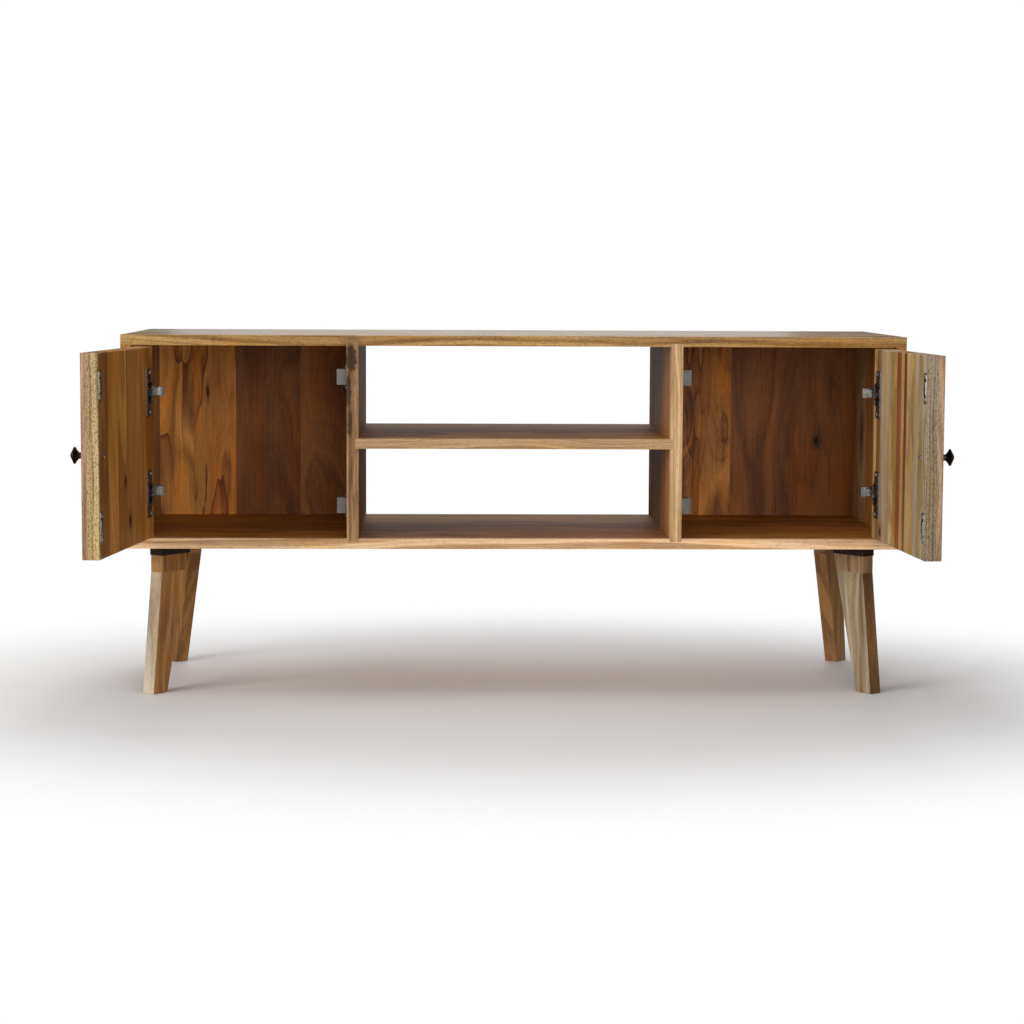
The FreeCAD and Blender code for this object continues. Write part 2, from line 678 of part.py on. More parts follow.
def arm_profile(side, shrink):
    """Plan outline of the cranked arm; shrink gives the inside of its pressed shell.

    It runs from the rear end forward along the arm's face, out along the crank to its nose, and back
    along the side by the door. The side by the mounting plate stays open.
    """
    back = PLATE_FRONT + PLATE_LENGTH - shrink
    low = PLATE_THICKNESS
    high = PLATE_THICKNESS + ARM_HEIGHT - shrink
    reach = ARM_REACH - shrink
    front = DOOR_THICKNESS + FLANGE_THICKNESS + ARM_NOSE_CLEAR + shrink
    crank_end = front + ARM_HEIGHT - 2 * shrink
    outline = [
        (low, back), (high, back), (high, PLATE_FRONT + ARM_HEIGHT), (reach, crank_end), (reach, front),
        (low + ARM_HEIGHT / 2, front + ARM_NOSE_CLEAR), (low, PLATE_FRONT - ARM_HEIGHT / 2),
    ]
    return [(from_side(side, across), y) for across, y in outline]


def arm_nose(side, level):
    """The arm's end, which reaches into the cup of the closed door."""
    cup_middle = DOOR_GAP + CUP_FROM_EDGE
    reach = cup_middle + CUP_DIAMETER / 2 - CUP_WALL - 2 * ARM_NOSE_CLEAR
    bottom = DOOR_THICKNESS - CUP_DEPTH + CUP_WALL + ARM_NOSE_CLEAR
    half_width = ARM_WIDTH / 2 - ARM_SHELL
    return block(
        (from_side(side, cup_middle - CUP_DIAMETER / 4), from_side(side, reach)),
        (bottom, DOOR_THICKNESS + FLANGE_THICKNESS + 2 * ARM_NOSE_CLEAR),
        (level - half_width, level + half_width),
    )


def swept_edge(side, level, grown):
    """The cylinder that the door's hinge edge and flange stay inside."""
    radius = math.hypot(DOOR_THICKNESS + FLANGE_THICKNESS, PIVOT_INSET) + grown
    return Part.makeCylinder(radius, 2 * ARM_WIDTH, pivot(side) + UP * (level - ARM_WIDTH), UP)


def hinge_arm(side, level):
    """A pressed steel channel, cranked out from its plate and round the door's edge."""
    half = ARM_WIDTH / 2
    body = prism(arm_profile(side, 0), level - half, level + half)
    solid = body.fuse(arm_nose(side, level)).removeSplitter()
    inside = prism(arm_profile(side, ARM_SHELL), level - half + ARM_SHELL, level + half - ARM_SHELL)
    return solid.cut(inside).cut(swept_edge(side, level, ARM_NOSE_CLEAR))


# ---------------------------------------------------------------- magnetic catches
CATCH_FRONT = DOOR_THICKNESS + STRIKE_THICKNESS + STRIKE_BOSS_RISE + CATCH_GAP


def from_divider(side, distance):
    """X of a place that far outside the divider, in the closed compartment."""
    return side * (DIVIDER_OUTER + distance)


def catch_screws(side, make):
    """Screws, or their holes, through the catches' ears into the divider."""
    tip_x = from_divider(side, CATCH_EAR_THICKNESS - SMALL_SCREW_LENGTH)
    return [
        make(
            (tip_x, CATCH_FRONT + CATCH_LENGTH / 2, level + offset), (side, 0, 0),
            SMALL_SCREW_DIAMETER, SMALL_SCREW_LENGTH, SMALL_SCREW_HEAD, False,
        )
        for level in CATCH_LEVELS.values()
        for offset in (-CATCH_SCREW_SPACING / 2, CATCH_SCREW_SPACING / 2)
    ]


def magnet_stack(side, level, across_low, across_high):
    """A slab across part of the catch's width, in the pocket that holds the magnet."""
    middle = CATCH_WIDTH / 2
    front = CATCH_FRONT + CATCH_FRONT_WALL
    return block(
        (from_divider(side, middle + across_low), from_divider(side, middle + across_high)),
        (front, front + MAGNET_LENGTH),
        (level - MAGNET_HEIGHT / 2, level + MAGNET_HEIGHT / 2),
    )


def magnet(side, level):
    """The magnet between the pole plates."""
    return magnet_stack(side, level, -MAGNET_WIDTH / 2, MAGNET_WIDTH / 2)


def pole_plates(side, level):
    """The steel plates on both sides of the magnet."""
    half = MAGNET_WIDTH / 2
    return [
        magnet_stack(side, level, half, half + POLE_THICKNESS),
        magnet_stack(side, level, -half - POLE_THICKNESS, -half),
    ]


def catch_body(side, level):
    """A catch's plastic housing, with an ear above and below for its screws."""
    body = block(
        (from_divider(side, 0), from_divider(side, CATCH_WIDTH)),
        (CATCH_FRONT, CATCH_FRONT + CATCH_LENGTH),
        (level - CATCH_HEIGHT / 2, level + CATCH_HEIGHT / 2),
    )

    def wanted(edge):
        away_from_divider = abs(edge.BoundBox.Center.x) > DIVIDER_OUTER + CATCH_WIDTH / 2
        return away_from_divider and is_long(edge, ALONG_Y, CATCH_LENGTH / 2)

    body = eased(body, CATCH_EASING, wanted)
    ears = block(
        (from_divider(side, 0), from_divider(side, CATCH_EAR_THICKNESS)),
        (CATCH_FRONT + CATCH_LENGTH / 4, CATCH_FRONT + CATCH_LENGTH * 3 / 4),
        (level - CATCH_EAR_HEIGHT / 2, level + CATCH_EAR_HEIGHT / 2),
    )
    # The magnet and its pole plates go in from the divider's side.
    pocket = magnet_stack(side, level, -CATCH_WIDTH / 2, MAGNET_WIDTH / 2 + POLE_THICKNESS)
    return body.fuse(ears).removeSplitter().cut([pocket] + catch_screws(side, screw_hole))


# ---------------------------------------------------------------- the whole stand
def carcass_nodes():
    """The panels of the carcass, and what holds them together."""
    pad_holes = [placed(hole, leg_placement(name)) for name in LEG_PLACES for hole in pad_screws(screw_hole)]
    top_groove = (CEILING, CEILING + HOUSING_DEPTH)
    bottom_groove = (FLOOR_FACE - HOUSING_DEPTH, FLOOR_FACE)
    nodes = {
        "top_panel": cross_panel(CEILING, CARCASS_TOP, top_groove, CARCASS_TOP, []),
        "bottom_panel": cross_panel(UNDERSIDE, FLOOR_FACE, bottom_groove, UNDERSIDE, pad_holes),
    }
    for name, side in SIDES.items():
        nodes[f"{name}_side_panel"] = side_panel(side, plate_screws(side, screw_hole))
        nodes[f"{name}_divider"] = divider(side, catch_screws(side, screw_hole))
        nodes[f"{name}_back_panel"] = back_panel(side).cut(back_screws(screw_hole))
    nodes["centre_shelf"] = centre_shelf()
    nodes["carcass_dowels"] = group(dowels(0))
    nodes["back_panel_screws"] = group(back_screws(wood_screw))
    return nodes


def leg_nodes():
    """The four legs and what fastens them."""
    nodes = {}
    makers = {"leg": leg, "leg_head": leg_head, "leg_pad": leg_pad}
    for node, make in makers.items():
        for name in LEG_PLACES:
            nodes[f"{name}_{node}"] = placed(make(), leg_placement(name))
    nodes["leg_hanger_bolts"] = group([placed(bolt(0), leg_placement(name)) for name in LEG_PLACES])
    nodes["leg_pad_screws"] = group(
        [placed(screw, leg_placement(name)) for name in LEG_PLACES for screw in pad_screws(wood_screw)]
    )
    return nodes


def fitting_nodes():
    """Hinge arms, mounting plates and catches, which stay on the carcass."""
    nodes = {}
    for name, side in SIDES.items():
        for place, level in HINGE_LEVELS.items():
            nodes[f"{name}_{place}_hinge_arm"] = hinge_arm(side, level)
            nodes[f"{name}_{place}_hinge_plate"] = mounting_plate(side, level)
        for place, level in CATCH_LEVELS.items():
            nodes[f"{name}_{place}_catch"] = catch_body(side, level)
    places = [(side, level) for side in SIDES.values() for level in CATCH_LEVELS.values()]
    nodes["hinge_plate_screws"] = group(plate_screws(-1, wood_screw) + plate_screws(1, wood_screw))
    nodes["catch_screws"] = group(catch_screws(-1, wood_screw) + catch_screws(1, wood_screw))
    nodes["catch_magnets"] = group([magnet(side, level) for side, level in places])
    nodes["catch_pole_plates"] = group([plate for place in places for plate in pole_plates(*place)])
    return nodes


def main():
    """Makes every node and writes each to its own file."""
    nodes = {**carcass_nodes(), **leg_nodes(), **fitting_nodes()}
    for name in SIDES:
        nodes.update(door_nodes(name))

    whole = FreeCAD.BoundBox()
    for shape in nodes.values():
        whole.add(shape.BoundBox)
    # The origin is on the floor, under the middle of the box with the doors open, to a whole millimetre.
    origin = Vector(round(whole.Center.x), round(whole.Center.y), 0)

    os.makedirs("parts", exist_ok=True)
    for name, shape in nodes.items():
        shape.translate(origin * -1)
        shape.exportStep(f"parts/{name}.step")
    print(f"{len(nodes)} nodes, origin at {tuple(origin)} in the carcass frame, box {whole}")
    for name, side in SIDES.items():
        axis = pivot(side) - origin
        print(f"{name} door turns about X {axis.x}, Y {axis.y}, stored {DOOR_OPEN[name]} degrees open")


main()
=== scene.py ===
"""The looks of a low solid-wood television stand with two doors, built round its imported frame.

Everything is in metres, in the row's frame: +X to the right, +Y to the back, +Z up.
"""
import json
import logging
import math
import random
from dataclasses import dataclass, field
from enum import Enum
from typing import Optional, Sequence

import bmesh
import bpy
from mathutils import Matrix, Vector

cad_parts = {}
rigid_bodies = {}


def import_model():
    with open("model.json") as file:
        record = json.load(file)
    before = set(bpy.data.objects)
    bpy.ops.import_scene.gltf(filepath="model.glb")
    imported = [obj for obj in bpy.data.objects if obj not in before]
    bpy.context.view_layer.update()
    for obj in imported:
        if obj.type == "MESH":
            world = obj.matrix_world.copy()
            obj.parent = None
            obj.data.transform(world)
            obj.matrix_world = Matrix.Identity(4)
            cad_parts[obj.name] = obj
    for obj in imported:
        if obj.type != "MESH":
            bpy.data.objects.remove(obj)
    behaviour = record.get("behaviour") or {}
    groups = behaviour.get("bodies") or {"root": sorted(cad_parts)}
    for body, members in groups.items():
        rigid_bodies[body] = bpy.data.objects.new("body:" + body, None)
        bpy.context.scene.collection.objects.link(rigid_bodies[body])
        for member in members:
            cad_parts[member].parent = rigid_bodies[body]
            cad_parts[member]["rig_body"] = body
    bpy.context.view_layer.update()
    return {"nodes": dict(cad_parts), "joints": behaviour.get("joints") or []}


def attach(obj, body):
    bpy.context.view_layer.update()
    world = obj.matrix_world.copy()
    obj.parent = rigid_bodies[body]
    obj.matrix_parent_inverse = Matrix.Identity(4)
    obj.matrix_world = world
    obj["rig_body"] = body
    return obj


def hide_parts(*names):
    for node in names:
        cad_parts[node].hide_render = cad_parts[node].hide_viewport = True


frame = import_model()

log = logging.getLogger("tv_stand")

MM = 0.001
ALONG_X = Vector((1, 0, 0))
ALONG_Y = Vector((0, 1, 0))
UP = Vector((0, 0, 1))
SIDES = {"left": -1, "right": 1}
MERGE = 0.005 * MM

Colour = tuple[float, float, float]

# What a mark leaves of the red, green and blue of the wood under it.
DEEP_BAND = (0.56, 0.45, 0.33)
PALE_BAND = (1.36, 1.40, 1.42)
GOLDEN_GLOW = (1.22, 0.98, 0.45)
LATE_WOOD = (0.60, 0.42, 0.18)
SPECK = (0.42, 0.34, 0.26)
PORE = (0.36, 0.28, 0.20)

KNOT_HEART = (0.012, 0.006, 0.003)
KNOT_EYE = (0.010, 0.005, 0.003)
FACES_OUT = 0.8
FACES_UP = 0.5
BOARD_ATTRIBUTES = {"grain": "Vector", "tint": "Color", "figure": "Fac", "speckle": "Fac", "polish": "Fac"}


# ------------------------------------------------------------------ node trees
class NodeSketch:
    """Adds nodes to a tree and links them, so that a tree reads as a list of steps."""

    def __init__(self, tree: bpy.types.NodeTree) -> None:
        """Wraps a tree.

        Args:
            tree: The shader or geometry node tree to add to.
        """
        self.tree = tree

    def node(self, kind: str, inputs: Optional[dict] = None, **settings: object) -> bpy.types.Node:
        """Adds one node.

        Args:
            kind: The node's type name.
            inputs: Values or sockets for its inputs, by socket name or number.
            settings: The node's own properties.

        Returns:
            The new node.
        """
        node = self.tree.nodes.new(kind)
        for name, value in settings.items():
            setattr(node, name, value)
        for key, value in (inputs or {}).items():
            self.feed(value, node.inputs[key])
        return node

    def feed(self, value: object, socket: bpy.types.NodeSocket) -> None:
        """Links a socket to an input, or sets the input's value.

        Args:
            value: An output socket, a list of them, or a plain value.
            socket: The input that takes it.
        """
        for item in value if isinstance(value, list) else [value]:
            if isinstance(item, bpy.types.NodeSocket):
                self.tree.links.new(item, socket)
            else:
                socket.default_value = item

    def math(self, operation: str, a: object, b: object = 0.0, c: object = 0.0) -> bpy.types.NodeSocket:
        """A Math node's result.

        Args:
            operation: The Math node's operation.
            a: First value or socket.
            b: Second value or socket.
            c: Third value or socket, for operations that take one.

        Returns:
            The node's output socket.
        """
        return self.node("ShaderNodeMath", {0: a, 1: b, 2: c}, operation=operation).outputs[0]

    def smooth(self, value: object, low: float, high: float) -> bpy.types.NodeSocket:
        """A smooth step from 0 at low to 1 at high.

        Args:
            value: The socket to map.
            low: Where the step starts.
            high: Where it ends, which may be below low.

        Returns:
            The mapped value's socket.
        """
        flipped = low > high
        limits = (high, low) if flipped else (low, high)
        inputs = {"Value": value, "From Min": limits[0], "From Max": limits[1]}
        step = self.node("ShaderNodeMapRange", inputs, interpolation_type="SMOOTHSTEP").outputs[0]
        return self.math("SUBTRACT", 1.0, step) if flipped else step

    def mix(self, factor: object, a: object, b: object, blend: str = "MIX") -> bpy.types.NodeSocket:
        """A mix of two colours.

        Args:
            factor: How much of b shows.
            a: First colour or socket.
            b: Second colour or socket.
            blend: The Mix node's blend type.

        Returns:
            The mixed colour's socket.
        """
        first, second = (opaque(colour) if isinstance(colour, tuple) else colour for colour in (a, b))
        inputs = {0: factor, 6: first, 7: second}
        return self.node("ShaderNodeMix", inputs, data_type="RGBA", blend_type=blend).outputs[2]

    def tinted(self, colour: object, share: Colour) -> bpy.types.NodeSocket:
        """A colour with its red, green and blue each multiplied by a share."""
        return self.mix(1.0, colour, share, "MULTIPLY")

    def stretched(self, vector: object, scale: Sequence[float]) -> bpy.types.NodeSocket:
        """A place multiplied by one number for each of its axes."""
        inputs = {0: vector, 1: tuple(scale)}
        return self.node("ShaderNodeVectorMath", inputs, operation="MULTIPLY").outputs[0]

    def noise(
        self, vector: object, scale: Sequence[float], detail: float, roughness: float, distortion: float = 0.0
    ) -> bpy.types.NodeSocket:
        """A noise value over a place.

        Args:
            vector: The place.
            scale: How often the noise changes in a metre, along each axis.
            detail: How many finer layers it has.
            roughness: How strong the finer layers are.
            distortion: How much the place is stirred first.

        Returns:
            The value's socket.
        """
        inputs = {
            "Vector": self.stretched(vector, scale), "Scale": 1.0, "Detail": detail,
            "Roughness": roughness, "Distortion": distortion,
        }
        return self.node("ShaderNodeTexNoise", inputs).outputs[0]


def opaque(colour: Colour) -> tuple[float, float, float, float]:
    """A colour with full alpha."""
    return (*colour, 1.0)


def new_group(name: str, kind: str, inputs: dict, outputs: dict) -> bpy.types.NodeTree:
    """A node group with its sockets.

    Args:
        name: The group's name.
        kind: The tree's type name.
        inputs: Socket type and default value for each input's name.
        outputs: Socket type for each output's name.

    Returns:
        The group's tree, with no nodes yet.
    """
    tree = bpy.data.node_groups.new(name, kind)
    for label, (socket_type, default) in inputs.items():
        socket = tree.interface.new_socket(label, in_out="INPUT", socket_type=socket_type)
        if default is not None:
            socket.default_value = default
    for label, socket_type in outputs.items():
        tree.interface.new_socket(label, in_out="OUTPUT", socket_type=socket_type)
    return tree


# ------------------------------------------------------------------ shared effects
class GrainScale(Enum):
    """How often a pattern of the wood changes in a metre: along the grain, across it and through it."""

    KNOT_CELLS = (3.1, 8.0, 1.0)
    KNOT_RIM = (70, 240, 240)
    WANDER = (2.0, 7.0, 7.0)
    RIPPLE = (11.0, 60.0, 60.0)
    FIBRE = (9.0, 620.0, 620.0)
    CLOUD = (3.0, 19.0, 19.0)
    GLOW = (4.5, 30.0, 30.0)
    PORES = (130.0, 1500.0, 1500.0)
    SMOKE = (4.0, 24.0, 24.0)
    STRAY = (3.6, 26.0, 26.0)
    PATCHES = (5.0, 14.0, 14.0)
    SPECKS = (330.0, 640.0, 640.0)


class Effects:
    """Shader groups that more than one finish uses, each built once."""

    knot_rim: tuple[float, float, float] = (420.0, 420.0, 180.0)

    def __init__(self) -> None:
        """Builds every group."""
        self.timber = self._timber()
        self.edge = self._edge()
        self.smudge = self._smudge()
        self.knot = self._knot()

    def _timber(self) -> bpy.types.NodeTree:
        """Growth bands, fibre, pores, dark figure and knots in a board's own place.

        Returns:
            The group's tree.
        """
        value, vector, colour = "NodeSocketFloat", "NodeSocketVector", "NodeSocketColor"
        tree = new_group(
            "Timber", "ShaderNodeTree",
            {
                "Grain": (vector, None),
                "Tint": (colour, None),
                "Figure": (value, 0.2),
                "Speckle": (value, 0.0),
                "Band Gap": (value, 0.01),
                "Band Depth": (value, 0.5),
                "Fibre Depth": (value, 0.4),
                "Pore Depth": (value, 0.5),
                "Cloud Depth": (value, 0.6),
                "Swirl": (value, 0.03),
                "Gold": (value, 0.0),
                "Vein": (value, 0.0),
                "Dark": (colour, (0.05, 0.02, 0.01, 1.0)),
            },
            {"Color": colour, "Roughness": value, "Height": value},
        )
        sketch = NodeSketch(tree)
        given = sketch.node("NodeGroupInput").outputs
        grain = given["Grain"]

        # Knots run through the board, and the bands bend round them.
        cells = sketch.stretched(grain, GrainScale.KNOT_CELLS.value)
        knot_cell = sketch.node(
            "ShaderNodeTexVoronoi", {"Vector": cells, "Scale": 1.0, "Randomness": 1.0}
        ).outputs["Distance"]
        ragged = sketch.noise(grain, GrainScale.KNOT_RIM.value, 2.0, 0.6)
        knot_reach = sketch.math("MULTIPLY_ADD", ragged, 0.07, knot_cell)
        knot = sketch.smooth(knot_reach, 0.10, 0.05)
        eye = sketch.smooth(knot_cell, 0.45, 0.0)

        # Growth bands: rings about a wandering pith, seen wherever the board is cut.
        wander = sketch.noise(grain, GrainScale.WANDER.value, 2.0, 0.5)
        ripple = sketch.noise(grain, GrainScale.RIPPLE.value, 2.0, 0.5)
        parts = sketch.node("ShaderNodeSeparateXYZ", {0: grain}).outputs
        across = sketch.math("MULTIPLY", parts[1], parts[1])
        radius = sketch.math("SQRT", sketch.math("MULTIPLY_ADD", parts[2], parts[2], across))
        bend = sketch.math("MULTIPLY_ADD", wander, given["Swirl"], radius)
        bend = sketch.math("MULTIPLY_ADD", ripple, 0.0045, bend)
        bend = sketch.math("MULTIPLY_ADD", eye, 0.014, bend)
        band_place = sketch.math("DIVIDE", bend, given["Band Gap"])
        rings = sketch.node(
            "ShaderNodeTexNoise",
            {"W": band_place, "Scale": 1.0, "Detail": 4.0, "Roughness": 0.66},
            noise_dimensions="1D",
        ).outputs[0]
        bands = sketch.smooth(rings, 0.30, 0.70)

        fibre = sketch.noise(grain, GrainScale.FIBRE.value, 3.0, 0.68)
        cloud = sketch.noise(grain, GrainScale.CLOUD.value, 3.0, 0.55)
        glow = sketch.noise(grain, GrainScale.GLOW.value, 2.0, 0.5, 0.6)
        pores = sketch.noise(grain, GrainScale.PORES.value, 1.0, 0.5)
        pores = sketch.smooth(pores, 0.58, 0.70)

        # Lightness: half way, moved by the bands, the fibre and slow clouds.
        light = 0.5
        for pattern, depth in ((bands, "Band Depth"), (fibre, "Fibre Depth"), (cloud, "Cloud Depth")):
            light = sketch.math("MULTIPLY_ADD", sketch.math("SUBTRACT", pattern, 0.5), given[depth], light)
        light = sketch.smooth(light, 0.0, 1.0)
        deep = sketch.tinted(given["Tint"], DEEP_BAND)
        pale = sketch.tinted(given["Tint"], PALE_BAND)
        colour_now = sketch.mix(light, deep, pale)
        golden = sketch.math("MULTIPLY", sketch.smooth(glow, 0.48, 0.66), given["Gold"])
        colour_now = sketch.mix(golden, colour_now, sketch.tinted(colour_now, GOLDEN_GLOW))

        # Dark figure: soft smoke between the bands, and flames with one sharp dark side each.
        smoke = sketch.noise(grain, GrainScale.SMOKE.value, 4.0, 0.58, 0.9)
        smoke = sketch.smooth(smoke, 0.44, 0.78)
        streak = sketch.math("MULTIPLY", smoke, sketch.smooth(bands, 1.0, 0.1))
        streak = sketch.math("MULTIPLY", streak, given["Figure"])
        colour_now = sketch.mix(streak, colour_now, given["Dark"])
        stray = sketch.noise(grain, GrainScale.STRAY.value, 2.0, 0.45)
        ring_count = sketch.math("MULTIPLY_ADD", stray, 4.2, sketch.math("MULTIPLY", band_place, 0.40))
        saw = sketch.math("FRACT", ring_count)
        patches = sketch.noise(grain, GrainScale.PATCHES.value, 2.0, 0.5)
        patchy = sketch.smooth(patches, 0.36, 0.58)
        flame = sketch.math("MULTIPLY", sketch.math("MULTIPLY", patchy, given["Figure"]), given["Vein"])
        late = sketch.math("MULTIPLY", sketch.smooth(saw, 0.5, 0.0), flame)
        colour_now = sketch.mix(late, colour_now, sketch.tinted(colour_now, LATE_WOOD))
        line = sketch.math("MULTIPLY", sketch.math("MULTIPLY", sketch.smooth(saw, 0.12, 0.0), flame), 0.8)
        colour_now = sketch.mix(line, colour_now, given["Dark"])

        # Knots, specks of cut end grain and open pores lie over the rest.
        ring_of_knot = sketch.math("MULTIPLY", sketch.smooth(knot_cell, 0.24, 0.09), 0.5)
        colour_now = sketch.mix(ring_of_knot, colour_now, given["Dark"])
        colour_now = sketch.mix(knot, colour_now, KNOT_HEART)
        specks = sketch.smooth(sketch.noise(grain, GrainScale.SPECKS.value, 2.0, 0.6), 0.46, 0.68)
        specks = sketch.math("MULTIPLY", specks, given["Speckle"])
        colour_now = sketch.mix(specks, colour_now, sketch.tinted(colour_now, SPECK))
        pore_mark = sketch.math("MULTIPLY", pores, given["Pore Depth"])
        colour_now = sketch.mix(pore_mark, colour_now, sketch.tinted(colour_now, PORE))

        rough = sketch.math("MULTIPLY_ADD", sketch.math("SUBTRACT", fibre, 0.5), 0.16, 0.50)
        rough = sketch.math("MULTIPLY_ADD", pores, 0.12, rough)
        height = sketch.math("MULTIPLY_ADD", pores, -0.7, sketch.math("MULTIPLY", fibre, 0.35))
        height = sketch.math("MULTIPLY_ADD", knot, -0.6, height)
        sketch.node("NodeGroupOutput", {"Color": colour_now, "Roughness": rough, "Height": height})
        return tree

    def _edge(self) -> bpy.types.NodeTree:
        """A mask along worn edges, from how far a rounded normal leaves the face's own.

        Returns:
            The group's tree.
        """
        value, vector = "NodeSocketFloat", "NodeSocketVector"
        tree = new_group(
            "Edge Wear", "ShaderNodeTree",
            {
                "Rounded": (vector, None), "Place": (vector, None), "Break": (value, 60.0),
                "Amount": (value, 0.5),
            },
            {"Wear": value},
        )
        sketch = NodeSketch(tree)
        given = sketch.node("NodeGroupInput").outputs
        true_normal = sketch.node("ShaderNodeNewGeometry").outputs["Normal"]
        inputs = {0: given["Rounded"], 1: true_normal}
        along = sketch.node("ShaderNodeVectorMath", inputs, operation="DOT_PRODUCT").outputs["Value"]
        near = sketch.smooth(along, 0.998, 0.90)
        inputs = {"Vector": given["Place"], "Scale": given["Break"], "Detail": 3.0, "Roughness": 0.6}
        broken = sketch.node("ShaderNodeTexNoise", inputs).outputs[0]
        broken = sketch.smooth(broken, 0.35, 0.62)
        wear = sketch.math("MULTIPLY", sketch.math("MULTIPLY", near, broken), given["Amount"])
        sketch.node("NodeGroupOutput", {"Wear": wear})
        return tree

    def _smudge(self) -> bpy.types.NodeTree:
        """Soft handling marks that change a surface's roughness and colour.

        Returns:
            The group's tree.
        """
        value, vector = "NodeSocketFloat", "NodeSocketVector"
        tree = new_group(
            "Smudge", "ShaderNodeTree",
            {"Place": (vector, None), "Size": (value, 30.0), "Low": (value, 0.2), "High": (value, 0.4)},
            {"Roughness": value, "Mask": value, "Height": value},
        )
        sketch = NodeSketch(tree)
        given = sketch.node("NodeGroupInput").outputs
        inputs = {"Vector": given["Place"], "Scale": given["Size"], "Detail": 5.0, "Roughness": 0.6}
        cloud = sketch.node("ShaderNodeTexNoise", inputs).outputs[0]
        mask = sketch.smooth(cloud, 0.38, 0.66)
        spread = sketch.math("SUBTRACT", given["High"], given["Low"])
        rough = sketch.math("MULTIPLY_ADD", mask, spread, given["Low"])
        inputs = {"Vector": given["Place"], "Scale": 1400.0, "Detail": 2.0, "Roughness": 0.5}
        fine = sketch.node("ShaderNodeTexNoise", inputs).outputs[0]
        sketch.node("NodeGroupOutput", {"Roughness": rough, "Mask": mask, "Height": fine})
        return tree

    def _knot(self) -> bpy.types.NodeTree:
        """A ragged dark eye and its soft halo at one place.

        Returns:
            The group's tree.
        """
        value, vector = "NodeSocketFloat", "NodeSocketVector"
        tree = new_group(
            "Knot", "ShaderNodeTree",
            {
                "Place": (vector, None), "Centre": (vector, None), "Reach": (vector, (0.01, 0.01, 0.02)),
                "Strength": (value, 1.0),
            },
            {"Eye": value, "Halo": value},
        )
        sketch = NodeSketch(tree)
        given = sketch.node("NodeGroupInput").outputs
        inputs = {0: given["Place"], 1: given["Centre"]}
        off = sketch.node("ShaderNodeVectorMath", inputs, operation="SUBTRACT").outputs[0]
        inputs = {0: off, 1: given["Reach"]}
        scaled = sketch.node("ShaderNodeVectorMath", inputs, operation="DIVIDE").outputs[0]
        reach = sketch.node("ShaderNodeVectorMath", {0: scaled}, operation="LENGTH").outputs["Value"]
        ragged = sketch.noise(given["Place"], self.knot_rim, 2.0, 0.6)
        reach = sketch.math("MULTIPLY_ADD", sketch.math("SUBTRACT", ragged, 0.5), 1.1, reach)
        halo = sketch.math("MULTIPLY", sketch.smooth(reach, 2.6, 0.9), 0.5)
        eye = sketch.smooth(reach, 1.05, 0.6)
        eye, halo = (sketch.math("MULTIPLY", mark, given["Strength"]) for mark in (eye, halo))
        sketch.node("NodeGroupOutput", {"Eye": eye, "Halo": halo})
        return tree


def placed_group(sketch: NodeSketch, tree: bpy.types.NodeTree, inputs: dict) -> bpy.types.Node:
    """Puts a shared group into a material, with that material's own values.

    Args:
        sketch: The material's tree.
        tree: The shared group.
        inputs: Values or sockets for the group's inputs, by name.

    Returns:
        The group's node.
    """
    node = sketch.node("ShaderNodeGroup", node_tree=tree)
    for name, value in inputs.items():
        sketch.feed(value, node.inputs[name])
    return node


def blank_material(name: str) -> tuple[bpy.types.Material, NodeSketch, bpy.types.Node]:
    """A material with one Principled shader on its output.

    Args:
        name: The material's name.

    Returns:
        The material, a sketch of its tree and the shader node.
    """
    material = bpy.data.materials.new(name)
    material.use_nodes = True
    material.node_tree.nodes.clear()
    sketch = NodeSketch(material.node_tree)
    shader = sketch.node("ShaderNodeBsdfPrincipled")
    sketch.node("ShaderNodeOutputMaterial", {"Surface": shader.outputs[0]})
    return material, sketch, shader


def give_bump(sketch: NodeSketch, shader: bpy.types.Node, height: object, depth: float) -> None:
    """Feeds a height to the shader's normal, through a bump.

    Args:
        sketch: The material's tree.
        shader: The Principled shader.
        height: The height's socket, from 0 to about 1.
        depth: How deep a height of 1 is, in metres.
    """
    inputs = {"Height": height, "Distance": depth, "Strength": 1.0}
    bump = sketch.node("ShaderNodeBump", inputs)
    sketch.feed(bump.outputs[0], shader.inputs["Normal"])


# ------------------------------------------------------------------ finishes
class Timber(Enum):
    """The boards' colours under clear lacquer; a few also carry painted light and shade."""

    STRAW = (0.44, 0.325, 0.165)
    WHEAT = (0.60, 0.395, 0.205)
    HONEY = (0.43, 0.255, 0.090)
    PEACH = (0.42, 0.270, 0.165)
    # Pale peach that is partly painted light: the lit front board of the bottom panel.
    LIT_BLOSSOM = (0.74, 0.485, 0.280)
    TAN = (0.48, 0.310, 0.160)
    FAWN = (0.40, 0.235, 0.115)
    BISCUIT = (0.45, 0.195, 0.042)
    OLIVE = (0.30, 0.130, 0.030)
    GREY = (0.36, 0.285, 0.200)
    # Pale grey of a painted sheen, on the front-left leg's outer face.
    SHEEN_ASH = (0.43, 0.350, 0.265)
    AMBER = (0.76, 0.335, 0.075)
    COPPER = (0.58, 0.235, 0.045)
    CHESTNUT = (0.40, 0.165, 0.045)
    WALNUT = (0.27, 0.098, 0.021)
    UMBER = (0.30, 0.145, 0.056)
    BRACKEN = (0.37, 0.195, 0.075)
    FALLOW = (0.26, 0.130, 0.042)
    MOOR = (0.30, 0.190, 0.105)
    # Dark brown that is partly painted shade: the front-right leg's outer face and the right divider's rear
    # board.
    SHADED_BARK = (0.20, 0.095, 0.035)
    RUSSET = (0.20, 0.070, 0.025)
    EBONISED = (0.024, 0.012, 0.007)


@dataclass(frozen=True)
class Knot:
    """A knot or dark streak: its place, how wide and how tall its dark eye is, and its strength."""

    place: tuple[float, float, float]
    width: float
    height: float
    strength: float = 1.0


